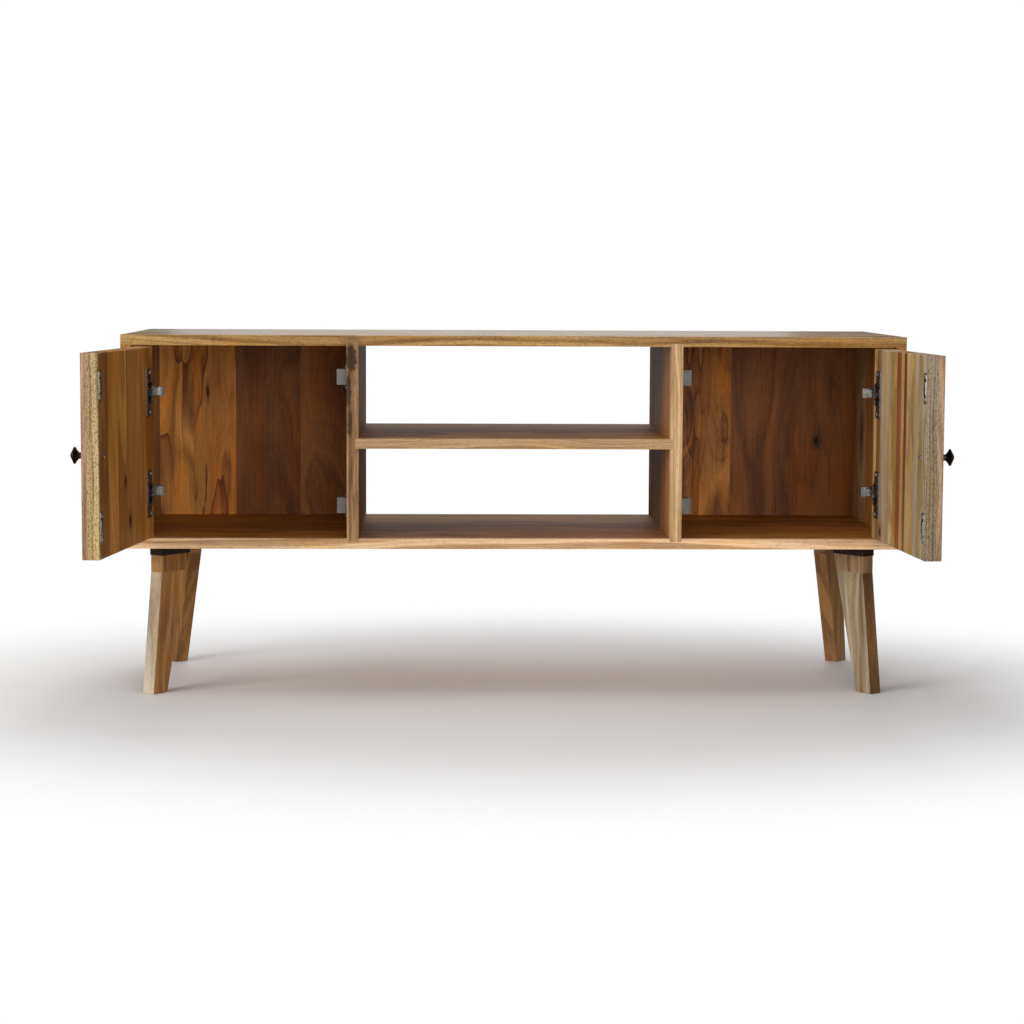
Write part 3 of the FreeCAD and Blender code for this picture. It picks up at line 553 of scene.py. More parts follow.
@dataclass(frozen=True)
class TimberFinish:
    """Clear satin lacquer on solid wood, whose colour comes from each board.

    The grain's place, the tint, the dark figure, the speckle and the polish are attributes of the
    board's mesh.
    """

    slot: str
    band_gap: float = 0.010
    band_depth: float = 0.5
    fibre_depth: float = 1.0
    pore_depth: float = 0.5
    cloud_depth: float = 0.7
    swirl: float = 0.05
    gold: float = 0.35
    vein: float = 0.3
    dark: Colour = (0.085, 0.040, 0.016)
    gloss: float = 0.15
    coat_roughness: float = 0.27
    edge_width: float = 0.8 * MM
    edge_amount: float = 0.35
    edge_tint: Colour = (0.55, 0.40, 0.25)
    bump_depth: float = 0.10 * MM
    knots: tuple[Knot, ...] = ()

    def material(self, effects: Effects) -> bpy.types.Material:
        """Builds the material.

        Args:
            effects: The shared shader groups.

        Returns:
            The material, named for the record's slot.
        """
        material, sketch, shader = blank_material(f"{self.slot}_finish")
        grain, tint, figure, speckle, polish = (
            sketch.node("ShaderNodeAttribute", attribute_name=name).outputs[kind]
            for name, kind in BOARD_ATTRIBUTES.items()
        )
        timber = placed_group(sketch, effects.timber, {
            "Grain": grain, "Tint": tint, "Figure": figure, "Speckle": speckle,
            "Band Gap": self.band_gap, "Band Depth": self.band_depth,
            "Fibre Depth": self.fibre_depth, "Pore Depth": self.pore_depth,
            "Cloud Depth": self.cloud_depth, "Swirl": self.swirl,
            "Gold": self.gold, "Vein": self.vein, "Dark": opaque(self.dark),
        })
        place = sketch.node("ShaderNodeTexCoord").outputs["Object"]
        rounded = sketch.node("ShaderNodeBevel", {"Radius": self.edge_width}, samples=4).outputs[0]
        wear = placed_group(sketch, effects.edge, {
            "Rounded": rounded, "Place": place, "Amount": self.edge_amount,
        }).outputs["Wear"]
        colour = sketch.mix(wear, timber.outputs["Color"], self.edge_tint)
        for knot in self.knots:
            marks = placed_group(sketch, effects.knot, {
                "Place": place, "Centre": knot.place, "Reach": (knot.width, knot.width, knot.height),
                "Strength": knot.strength,
            }).outputs
            colour = sketch.mix(marks["Halo"], colour, self.dark)
            colour = sketch.mix(marks["Eye"], colour, KNOT_EYE)
        sketch.feed(colour, shader.inputs["Base Color"])
        sketch.feed(timber.outputs["Roughness"], shader.inputs["Roughness"])
        sketch.feed(polish, shader.inputs["Coat Weight"])
        shader.inputs["Coat Roughness"].default_value = self.coat_roughness
        shader.inputs["Specular IOR Level"].default_value = self.gloss
        give_bump(sketch, shader, timber.outputs["Height"], self.bump_depth)
        return material


@dataclass(frozen=True)
class HardFinish:
    """Metal or moulded plastic, with handling marks, fine texture and worn edges."""

    slot: str
    colour: Colour
    marked: Colour
    worn: Colour
    metallic: float
    smooth: float
    dull: float
    wear: float = 0.6
    wear_break: float = 260.0
    edge_width: float = 0.35 * MM
    mark_size: float = 70.0
    bump_depth: float = 0.01 * MM

    def material(self, effects: Effects) -> bpy.types.Material:
        """Builds the material.

        Args:
            effects: The shared shader groups.

        Returns:
            The material, named for the record's slot.
        """
        material, sketch, shader = blank_material(f"{self.slot}_finish")
        place = sketch.node("ShaderNodeTexCoord").outputs["Object"]
        smudge = placed_group(sketch, effects.smudge, {
            "Place": place, "Size": self.mark_size, "Low": self.smooth, "High": self.dull,
        })
        rounded = sketch.node("ShaderNodeBevel", {"Radius": self.edge_width}, samples=4).outputs[0]
        wear = placed_group(sketch, effects.edge, {
            "Rounded": rounded, "Place": place, "Break": self.wear_break, "Amount": self.wear,
        }).outputs["Wear"]
        marked = sketch.mix(smudge.outputs["Mask"], self.colour, self.marked)
        sketch.feed(sketch.mix(wear, marked, self.worn), shader.inputs["Base Color"])
        sketch.feed(smudge.outputs["Roughness"], shader.inputs["Roughness"])
        shader.inputs["Metallic"].default_value = self.metallic
        give_bump(sketch, shader, smudge.outputs["Height"], self.bump_depth)
        return material


BACK_FRONT = 0.352
DIVIDER_FRONT = -0.040

BACK_KNOTS = (
    Knot((0.530, BACK_FRONT, 0.370), 5 * MM, 9 * MM),
    Knot((-0.495, BACK_FRONT, 0.450), 2.2 * MM, 12 * MM),
)
DOOR_KNOTS = (
    Knot((-0.563, -0.210, 0.345), 5 * MM, 8 * MM),
    Knot((-0.560, -0.185, 0.285), 7 * MM, 11 * MM),
    Knot((0.564, -0.090, 0.260), 5 * MM, 8 * MM),
)
DIVIDER_STREAKS = (
    Knot((-0.240, DIVIDER_FRONT, 0.520), 10 * MM, 24 * MM, 0.85),
    Knot((-0.245, DIVIDER_FRONT, 0.470), 5 * MM, 30 * MM, 0.8),
    Knot((-0.243, DIVIDER_FRONT, 0.420), 4 * MM, 26 * MM, 0.7),
    Knot((-0.241, DIVIDER_FRONT, 0.345), 2.2 * MM, 34 * MM, 0.45),
    Knot((-0.236, DIVIDER_FRONT, 0.290), 1.8 * MM, 24 * MM, 0.35),
)


class Workshop:
    """Every finish of the stand, with its material made once."""

    def __init__(self) -> None:
        """Makes the shared groups and the list of finishes."""
        self.effects = Effects()
        self.materials: dict[str, bpy.types.Material] = {}
        finishes = [
            TimberFinish("carcass_wood", knots=DIVIDER_STREAKS),
            TimberFinish(
                "back_wood", band_gap=0.016, band_depth=0.6, swirl=0.10, gold=0.9, vein=0.8, gloss=0.2,
                dark=(0.06, 0.022, 0.007), knots=BACK_KNOTS,
            ),
            TimberFinish(
                "door_stave_wood", band_gap=0.007, fibre_depth=1.2, swirl=0.03, vein=0.1, knots=DOOR_KNOTS,
            ),
            TimberFinish("door_facing_wood", pore_depth=0.8, swirl=0.08, dark=(0.12, 0.085, 0.06)),
            TimberFinish(
                "leg_wood", band_gap=0.013, band_depth=0.35, fibre_depth=0.8, cloud_depth=1.3, swirl=0.12,
                gold=0.3, vein=0.25, dark=(0.07, 0.040, 0.022),
            ),
            TimberFinish("leg_head_wood", band_gap=0.008, swirl=0.05),
            TimberFinish("pad_wood", band_depth=0.4, pore_depth=0.3, edge_tint=(0.11, 0.07, 0.045)),
            TimberFinish("dowel_wood", band_gap=0.004, band_depth=0.4, edge_amount=0.1),
            HardFinish(
                "bronze", colour=(0.050, 0.040, 0.034), marked=(0.030, 0.024, 0.021),
                worn=(0.30, 0.19, 0.11), metallic=1.0, smooth=0.26, dull=0.44, wear=0.8,
            ),
            HardFinish(
                "hinge_nickel", colour=(0.35, 0.34, 0.32), marked=(0.25, 0.24, 0.225),
                worn=(0.55, 0.54, 0.52), metallic=1.0, smooth=0.22, dull=0.36,
            ),
            HardFinish(
                "plate_steel", colour=(0.42, 0.40, 0.37), marked=(0.27, 0.25, 0.22),
                worn=(0.60, 0.58, 0.54), metallic=1.0, smooth=0.24, dull=0.42,
            ),
            HardFinish(
                "screw_steel", colour=(0.44, 0.43, 0.41), marked=(0.30, 0.29, 0.27),
                worn=(0.60, 0.59, 0.57), metallic=1.0, smooth=0.24, dull=0.40,
            ),
            HardFinish(
                "catch_plastic", colour=(0.165, 0.158, 0.148), marked=(0.14, 0.134, 0.125),
                worn=(0.22, 0.21, 0.20), metallic=0.0, smooth=0.40, dull=0.52, wear=0.4, bump_depth=0.03 * MM,
            ),
            HardFinish(
                "magnet_ferrite", colour=(0.045, 0.045, 0.048), marked=(0.07, 0.068, 0.066),
                worn=(0.14, 0.135, 0.13), metallic=0.0, smooth=0.5, dull=0.7,
            ),
        ]
        self.finishes = {finish.slot: finish for finish in finishes}

    def material(self, slot: str) -> bpy.types.Material:
        """The material of a slot, built the first time it is asked for.

        Args:
            slot: The slot's name in the record.

        Returns:
            The slot's one material.
        """
        if slot not in self.materials:
            self.materials[slot] = self.finishes[slot].material(self.effects)
        return self.materials[slot]

    def dress(self, piece: bpy.types.Object, slot: str) -> None:
        """Gives a piece one material and says which slot it stands for.

        Args:
            piece: The piece to dress.
            slot: The slot's name in the record.
        """
        piece.data.materials.clear()
        piece.data.materials.append(self.material(slot))

    def dress_node(self, node: str, slot: str) -> None:
        """Gives a CAD node that stays a finished material, on its own slots.

        Args:
            node: The CAD node's name.
            slot: The slot's name in the record.
        """
        for place in frame["nodes"][node].material_slots:
            place.material = self.material(slot)
        log.info("%s: kept as it is, dressed as %s", node, slot)


# ------------------------------------------------------------------ mesh helpers
def merged_copy(node: str) -> bmesh.types.BMesh:
    """A CAD node's mesh with its loose triangles joined.

    Args:
        node: The CAD node's name.

    Returns:
        A new bmesh, which the caller frees.
    """
    shape = bmesh.new()
    shape.from_mesh(frame["nodes"][node].data)
    bmesh.ops.remove_doubles(shape, verts=shape.verts, dist=MERGE)
    for face in shape.faces:
        face.smooth = False
    return shape


def new_piece(name: str, shape: bmesh.types.BMesh) -> bpy.types.Object:
    """A linked object from a finished bmesh.

    Args:
        name: The piece's name.
        shape: The finished bmesh, which is freed.

    Returns:
        The object, at the origin.
    """
    mesh = bpy.data.meshes.new(name)
    shape.to_mesh(mesh)
    shape.free()
    piece = bpy.data.objects.new(name, mesh)
    bpy.context.scene.collection.objects.link(piece)
    return piece


def loose_parts(node: str) -> list[list[Vector]]:
    """The corners of each separate solid of a CAD node, always in the same order.

    Args:
        node: The CAD node's name.

    Returns:
        One list of corners for each solid, in the order of the mesh's own corners.
    """
    shape = merged_copy(node)
    shape.verts.index_update()
    seen: set[int] = set()
    parts = []
    for start in shape.verts:
        if start.index in seen:
            continue
        seen.add(start.index)
        reached = [start]
        part = []
        while reached:
            vert = reached.pop()
            part.append(vert.co.copy())
            for edge in vert.link_edges:
                other = edge.other_vert(vert)
                if other.index not in seen:
                    seen.add(other.index)
                    reached.append(other)
        parts.append(part)
    shape.free()
    return parts


def span(points: Sequence[Vector], axis: Vector) -> tuple[float, float]:
    """The lowest and highest reach of some points along an axis."""
    reach = [point.dot(axis) for point in points]
    return min(reach), max(reach)


def body_of_node(node: str) -> str:
    """The name of the body that a CAD node belongs to."""
    return frame["nodes"][node]["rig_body"]


def settle(piece: bpy.types.Object, body: str, *nodes: str) -> None:
    """Makes a finished piece ride on its body and stand for its nodes.

    Args:
        piece: The finished piece.
        body: The body that it moves with.
        nodes: CAD nodes that it replaces.
    """
    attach(piece, body)
    if nodes:
        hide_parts(*nodes)
    log.info("%s: %d faces on %s", piece.name, len(piece.data.polygons), body)


# ------------------------------------------------------------------ wooden pieces
@dataclass(frozen=True)
class Plank:
    """One board of a glued panel: its width against the others, its colour, figure and speckle."""

    width: float
    timber: Timber
    figure: float = 0.15
    speckle: float = 0.0


@dataclass
class GluedPanel:
    """A panel glued from boards side by side, or a single board."""

    node: str
    slot: str
    along: Vector
    across: Vector
    planks: Sequence[Plank]
    seed: int = 1
    polish: float = 0.0
    outer_face: Optional[tuple[Vector, Timber]] = None
    pith_depth: tuple[float, float] = (0.02, 0.09)
    log_length: float = 8.0

    def build(self, workshop: Workshop) -> bpy.types.Object:
        """Makes the panel from its CAD node's shape, cut at the glue lines.

        Args:
            workshop: The finishes.

        Returns:
            The dressed piece, riding on its body.
        """
        shape = merged_copy(self.node)
        low, high = span([vert.co for vert in shape.verts], self.across)
        joints = self._joints(low, high)
        for joint in joints[1:-1]:
            whole = [*shape.verts, *shape.edges, *shape.faces]
            bmesh.ops.bisect_plane(
                shape, geom=whole, dist=MERGE, plane_co=self.across * joint, plane_no=self.across
            )
        self._mark(shape, joints)
        piece = new_piece(f"{self.node}_boards", shape)
        workshop.dress(piece, self.slot)
        settle(piece, body_of_node(self.node), self.node)
        return piece

    def _joints(self, low: float, high: float) -> list[float]:
        """Where the glue lines and both sides lie, along the across axis.

        Args:
            low: The side where the first board starts.
            high: The side where the last board ends.

        Returns:
            Both sides, with the glue lines between them.
        """
        total = sum(plank.width for plank in self.planks)
        joints = [low]
        for plank in self.planks:
            joints.append(joints[-1] + plank.width * (high - low) / total)
        return joints

    def _mark(self, shape: bmesh.types.BMesh, joints: list[float]) -> None:
        """Writes each board's grain place, tint, figure, speckle and polish on its faces' corners.

        Args:
            shape: The panel's mesh.
            joints: The glue lines along the across axis.
        """
        grain = shape.loops.layers.float_vector.new("grain")
        tint = shape.loops.layers.float_color.new("tint")
        figure, speckle, polish = (
            shape.loops.layers.float.new(name) for name in ("figure", "speckle", "polish")
        )
        through = self.along.cross(self.across)
        dice = random.Random(self.seed)
        origins = []
        for count in range(len(self.planks)):
            middle = (joints[count] + joints[count + 1]) / 2
            half = (joints[count + 1] - joints[count]) / 2
            pith = middle + dice.uniform(-half, half)
            origins.append((dice.uniform(0, self.log_length), pith, dice.uniform(*self.pith_depth)))
        for face in shape.faces:
            reach = face.calc_center_median().dot(self.across)
            count = sum(reach > joint for joint in joints[1:-1])
            start, pith, depth = origins[count]
            plank = self.planks[count]
            timber = plank.timber
            if self.outer_face and face.normal.dot(self.outer_face[0]) > FACES_OUT:
                timber = self.outer_face[1]
            for loop in face.loops:
                place = loop.vert.co
                loop[grain] = (
                    place.dot(self.along) + start,
                    place.dot(self.across) - pith,
                    place.dot(through) + depth,
                )
                loop[tint] = opaque(timber.value)
                loop[figure] = plank.figure
                loop[speckle] = plank.speckle
                loop[polish] = self.polish if face.normal.z > FACES_UP else 0.0


@dataclass
class Carcass:
    """The panels of the case: top, bottom, sides, dividers, shelf and backs."""

    workshop: Workshop

    def build(self) -> None:
        """Builds every panel of the case."""
        for panel in [*self._level_panels(), *self._upright_panels(), *self._backs()]:
            panel.build(self.workshop)
        self.workshop.dress_node("carcass_dowels", "dowel_wood")

    def _level_panels(self) -> list[GluedPanel]:
        """The panels whose boards run the length of the stand.

        Returns:
            The top, the bottom and the shelf.
        """
        top = [
            Plank(88, Timber.HONEY, 0.5, 0.5), Plank(112, Timber.TAN),
            Plank(96, Timber.STRAW, 0.1), Plank(104, Timber.PEACH, 0.1),
        ]
        # Painted light and shade: the narrow front board of the bottom is painted pale as lit, and the boards
        # behind it are darker wood that also carries painted shade inside the bays.
        bottom = [
            Plank(14, Timber.LIT_BLOSSOM, 0.12), Plank(96, Timber.BISCUIT, 0.3),
            Plank(140, Timber.CHESTNUT, 0.3), Plank(150, Timber.BISCUIT, 0.1),
        ]
        # Painted shade: the shelf's boards get darker towards the back, darker wood that also stands for the
        # shade inside the bays.
        shelf = [Plank(20, Timber.TAN, 0.12), Plank(150, Timber.BISCUIT, 0.2), Plank(230, Timber.OLIVE)]
        return [
            GluedPanel("top_panel", "carcass_wood", ALONG_X, ALONG_Y, top, seed=11, polish=1.0),
            GluedPanel("bottom_panel", "carcass_wood", ALONG_X, ALONG_Y, bottom, seed=23),
            GluedPanel("centre_shelf", "carcass_wood", ALONG_X, ALONG_Y, shelf, seed=31),
        ]

    def _upright_panels(self) -> list[GluedPanel]:
        """The sides and dividers, whose boards stand upright.

        Returns:
            Both dividers, then both side panels.
        """
        boards = {
            # Painted shade: behind each divider's narrow front board the boards are darker wood that also
            # carries the shade inside the bays.
            "left_divider": [
                Plank(22, Timber.FAWN, 1.0), Plank(130, Timber.OLIVE, 0.3), Plank(248, Timber.CHESTNUT),
            ],
            "right_divider": [
                Plank(22, Timber.WHEAT, 0.3), Plank(140, Timber.CHESTNUT, 0.8), Plank(238, Timber.SHADED_BARK),
            ],
            "left_side_panel": [
                Plank(100, Timber.BISCUIT), Plank(130, Timber.CHESTNUT, 0.4), Plank(170, Timber.TAN),
            ],
            "right_side_panel": [
                Plank(110, Timber.BISCUIT), Plank(150, Timber.CHESTNUT, 0.3), Plank(140, Timber.TAN),
            ],
        }
        outside = {f"{name}_side_panel": (ALONG_X * side, Timber.TAN) for name, side in SIDES.items()}
        return [
            GluedPanel(
                node, "carcass_wood", UP, ALONG_Y, planks, seed=41 + count, outer_face=outside.get(node)
            )
            for count, (node, planks) in enumerate(boards.items())
        ]

    def _backs(self) -> list[GluedPanel]:
        """The back panels, each of a few wide upright planks.

        Returns:
            The left and the right back panel.
        """
        boards = {
            "left_back_panel": [
                Plank(64.5, Timber.AMBER, 1.0), Plank(70.5, Timber.COPPER, 1.2),
                Plank(108.5, Timber.WALNUT, 0.12), Plank(99.5, Timber.CHESTNUT, 0.15),
            ],
            "right_back_panel": [
                Plank(126.5, Timber.COPPER, 1.0), Plank(115, Timber.WALNUT, 0.25),
                Plank(101.5, Timber.WALNUT, 0.3),
            ],
        }
        return [
            GluedPanel(node, "back_wood", UP, ALONG_X, planks, seed=61 + count)
            for count, (node, planks) in enumerate(boards.items())
        ]


@dataclass
class Leg:
    """One splayed leg: pad, head block and tapered board, whose face colours hold painted light and shade."""

    place: str
    side: int
    end: int
    timber: Timber
    # The outer face's colour, with painted light in it: paler and greyer where the face turns to the key
    # light on the left, darker where it turns away.
    outer_wood_and_light: Timber
    head_timber: Timber
    figure: float
    turn: float = math.radians(54)
    lean: float = 0.06
    head_figure: float = 0.3
    pad_figure: float = 0.1

    def build(self, workshop: Workshop) -> None:
        """Builds the three wooden pieces of the leg.

        Args:
            workshop: The finishes.
        """
        outward = Vector((self.side * math.cos(self.turn), self.end * math.sin(self.turn), 0))
        across = UP.cross(outward)
        along = (UP - outward * self.lean).normalized()
        seed = 71 + 10 * self.side + self.end
        board = [Plank(1, self.timber, self.figure)]
        head = [Plank(1, self.head_timber, self.head_figure)]
        pad = [Plank(1, Timber.EBONISED, self.pad_figure)]
        face = (outward, self.outer_wood_and_light)
        panels = [
            GluedPanel(
                f"{self.place}_leg", "leg_wood", along, across, board, seed=seed, outer_face=face
            ),
            GluedPanel(f"{self.place}_leg_head", "leg_head_wood", UP, across, head, seed=seed + 1),
            GluedPanel(f"{self.place}_leg_pad", "pad_wood", across, outward, pad, seed=seed + 2),
        ]
        for panel in panels:
            panel.build(workshop)


# ------------------------------------------------------------------ fittings
@dataclass
class RoundedPart:
    """A pressed, turned or moulded part: its CAD node's shape with its edges rounded."""

    node: str
    slot: str
    radius: float = 0.3 * MM
    segments: int = 2
    sharp_angle: float = math.radians(32)
    flat_angle: float = math.radians(0.5)

    def build(self, workshop: Workshop) -> bpy.types.Object:
        """Makes the part.

        Args:
            workshop: The finishes.

        Returns:
            The dressed piece, riding on its body.
        """
        shape = merged_copy(self.node)
        bmesh.ops.dissolve_limit(
            shape, angle_limit=self.flat_angle, verts=shape.verts, edges=shape.edges
        )
        piece = new_piece(f"{self.node}_finished", shape)
        piece.data.shade_smooth()
        piece.data.set_sharp_from_angle(angle=self.sharp_angle)
        bevel = piece.modifiers.new("rounding", "BEVEL")
        bevel.width = self.radius
        bevel.segments = self.segments
        bevel.limit_method = "ANGLE"
        bevel.angle_limit = self.sharp_angle
        bevel.harden_normals = True
        workshop.dress(piece, self.slot)
        settle(piece, body_of_node(self.node), self.node)
        return piece


class ScrewHead(Enum):
    """How a screw's head meets what it holds."""

    PAN = "pan"
    SUNK = "sunk"


@dataclass
class ScrewSet:
    """Identical screws, which one geometry node tree sets out on their places."""

    node: str
    axis: Vector
    head: ScrewHead
    tree: bpy.types.NodeTree
    mirrored: bool = False
    slot: str = "screw_steel"
    recess_share: float = 0.62
    seed: int = 5
    least_radius: float = 0.3 * MM
    least_depth: float = 0.2 * MM

    def build(self, workshop: Workshop) -> bpy.types.Object:
        """Makes all the screws of one CAD node.

        Args:
            workshop: The finishes.

        Returns:
            The dressed piece, riding on its body.
        """
        parts = loose_parts(self.node)
        shape = bmesh.new()
        aim = shape.verts.layers.float_vector.new("axis")
        for part in parts:
            shape.verts.new(self._top(part))[aim] = self._axis(part)
        points = new_piece(f"{self.node}_places", shape)
        modifier = points.modifiers.new("screws", "NODES")
        modifier.node_group = self.tree
        values = {**self._sizes(parts[0]), "Seed": self.seed, "Finish": workshop.material(self.slot)}
        for item in self.tree.interface.items_tree:
            if item.in_out == "INPUT" and item.name in values:
                modifier[item.identifier] = values[item.name]
        graph = bpy.context.evaluated_depsgraph_get()
        mesh = bpy.data.meshes.new_from_object(points.evaluated_get(graph))
        points.modifiers.remove(modifier)
        bpy.data.objects.remove(points)
        piece = bpy.data.objects.new(f"{self.node}_turned", mesh)
        bpy.context.scene.collection.objects.link(piece)
        workshop.dress(piece, self.slot)
        settle(piece, body_of_node(self.node), self.node)
        return piece

    def _axis(self, part: list[Vector]) -> Vector:
        """The way a screw's head points, which turns round between the sides of a mirrored set."""
        return self.axis * math.copysign(1, part[0].x) if self.mirrored else self.axis

    def _top(self, part: list[Vector]) -> Vector:
        """The middle of a screw's head, at its outer end.

        Args:
            part: The corners of one screw.

        Returns:
            The place.
        """
        axis = self._axis(part)
        _, high = span(part, axis)
        side = axis.orthogonal().normalized()
        other = axis.cross(side)
        return axis * high + side * (sum(span(part, side)) / 2) + other * (sum(span(part, other)) / 2)

    def _sizes(self, part: list[Vector]) -> dict[str, float]:
        """The screw's sizes, read from its solid.

        Args:
            part: The corners of one screw.

        Returns:
            The tree's size inputs.
        """
        axis = self._axis(part)
        low, high = span(part, axis)
        top = self._top(part)
        radii: dict[float, float] = {}
        for point in part:
            depth = round(high - point.dot(axis), 5)
            off = point - top
            radius = (off - axis * off.dot(axis)).length
            radii[depth] = max(radii.get(depth, 0.0), radius)
        head = max(radii.values())
        shank = min(
            radius for depth, radius in radii.items()
            if radius > self.least_radius and depth > self.least_depth
        )
        wide = [depth for depth, radius in radii.items() if radius > head - MERGE]
        rise = max(wide) if self.head is ScrewHead.PAN else head - shank
        return {
            "Head Radius": head,
            "Head Height": rise,
            "Shank Radius": shank,
            "Length": high - low,
            "Head Taper": shank / head if self.head is ScrewHead.SUNK else 1.0,
            "Recess": head * self.recess_share,
        }


def screw_tree() -> bpy.types.NodeTree:
    """The geometry node tree that turns, slots and sets out screws.

    Returns:
        A tree whose points carry the way that each screw's head points, as "axis".
    """
    value = "NodeSocketFloat"
    tree = new_group(
        "Screws", "GeometryNodeTree",
        {
            "Places": ("NodeSocketGeometry", None),
            "Head Radius": (value, 3 * MM),
            "Head Height": (value, 1.4 * MM),
            "Head Taper": (value, 1.0),
            "Shank Radius": (value, 1.5 * MM),
            "Length": (value, 12 * MM),
            "Recess": (value, 1.8 * MM),
            "Seed": ("NodeSocketInt", 5),
            "Finish": ("NodeSocketMaterial", None),
        },
        {"Screws": "NodeSocketGeometry"},
    )
    sketch = NodeSketch(tree)
    given = sketch.node("NodeGroupInput").outputs
    head_radius, head_height = given["Head Radius"], given["Head Height"]
    head_corners, shank_corners = 24, 12
    point_radius = 0.05 * MM

    def cone(
        bottom: object, top: object, depth: object, foot: object, vertices: int
    ) -> bpy.types.NodeSocket:
        """A closed truncated cone.

        Args:
            bottom: Radius at its foot.
            top: Radius at its top.
            depth: How tall it is.
            foot: The height of its foot, which is below the head's top.
            vertices: Corners round it.

        Returns:
            The cone's geometry.
        """
        inputs = {"Vertices": vertices, "Radius Top": top, "Radius Bottom": bottom, "Depth": depth}
        made = sketch.node("GeometryNodeMeshCone", inputs).outputs["Mesh"]
        lift = sketch.node("ShaderNodeCombineXYZ", {2: foot}).outputs[0]
        return sketch.node("GeometryNodeTransform", {"Geometry": made, "Translation": lift}).outputs[0]

    below = sketch.math("MULTIPLY", head_height, -1.0)
    under_radius = sketch.math("MULTIPLY", head_radius, given["Head Taper"])
    straight = sketch.math("MULTIPLY", head_height, 0.55)
    dome_foot = sketch.math("SUBTRACT", straight, head_height)
    dome_height = sketch.math("SUBTRACT", head_height, straight)
    flat_top = sketch.math("GREATER_THAN", 0.999, given["Head Taper"])
    narrow = sketch.math("MULTIPLY", head_radius, sketch.math("MULTIPLY_ADD", flat_top, 0.28, 0.72))
    flare = sketch.math("SUBTRACT", head_radius, under_radius)
    middle_radius = sketch.math("MULTIPLY_ADD", flare, 0.55, under_radius)
    lower = cone(under_radius, middle_radius, straight, below, head_corners)
    upper = cone(middle_radius, narrow, dome_height, dome_foot, head_corners)
    shank_radius = given["Shank Radius"]
    under_head = sketch.math("SUBTRACT", given["Length"], head_height)
    shank_length = sketch.math("SUBTRACT", under_head, shank_radius)
    shank_foot = sketch.math("SUBTRACT", below, shank_length)
    shank = cone(shank_radius, shank_radius, shank_length, shank_foot, shank_corners)
    tip_foot = sketch.math("MULTIPLY", given["Length"], -1.0)
    tip = cone(point_radius, shank_radius, shank_radius, tip_foot, shank_corners)
    solid = sketch.node("GeometryNodeMeshBoolean", operation="UNION", solver="EXACT")
    for part in (lower, upper, shank, tip):
        sketch.feed(part, solid.inputs["Mesh 2"])

    arm = sketch.math("MULTIPLY", given["Recess"], 2.0)
    slot_width = sketch.math("MULTIPLY", given["Recess"], 0.42)
    slot_depth = sketch.math("MULTIPLY", head_height, 1.1)
    cross = sketch.node("GeometryNodeMeshBoolean", operation="DIFFERENCE", solver="EXACT")
    sketch.feed(solid.outputs[0], cross.inputs["Mesh 1"])
    for sizes in ((arm, slot_width), (slot_width, arm)):
        size = sketch.node("ShaderNodeCombineXYZ", {0: sizes[0], 1: sizes[1], 2: slot_depth}).outputs[0]
        bar = sketch.node("GeometryNodeMeshCube", {"Size": size}).outputs["Mesh"]
        sketch.feed(bar, cross.inputs["Mesh 2"])

    own_axis = sketch.node(
        "GeometryNodeInputNamedAttribute", {"Name": "axis"}, data_type="FLOAT_VECTOR"
    ).outputs[0]
    aligned = sketch.node("FunctionNodeAlignRotationToVector", {"Vector": own_axis}, axis="Z").outputs[0]
    spin = sketch.node(
        "FunctionNodeRandomValue", {"Max": 0.0, "Seed": given["Seed"]}, data_type="FLOAT"
    )
    spin.inputs[3].default_value = math.pi
    inputs = {"Axis": tuple(UP), "Angle": spin.outputs[1]}
    turned = sketch.node("FunctionNodeAxisAngleToRotation", inputs)
    rotation = sketch.node(
        "FunctionNodeRotateRotation", {0: aligned, 1: turned.outputs[0]}, rotation_space="LOCAL"
    ).outputs[0]
    instances = sketch.node(
        "GeometryNodeInstanceOnPoints",
        {"Points": given["Places"], "Instance": cross.outputs[0], "Rotation": rotation},
    ).outputs[0]
    real = sketch.node("GeometryNodeRealizeInstances", {0: instances}).outputs[0]
    inputs = {"Geometry": real, "Material": given["Finish"]}
    finished = sketch.node("GeometryNodeSetMaterial", inputs).outputs[0]
    sketch.node("NodeGroupOutput", {"Screws": finished})
    return tree


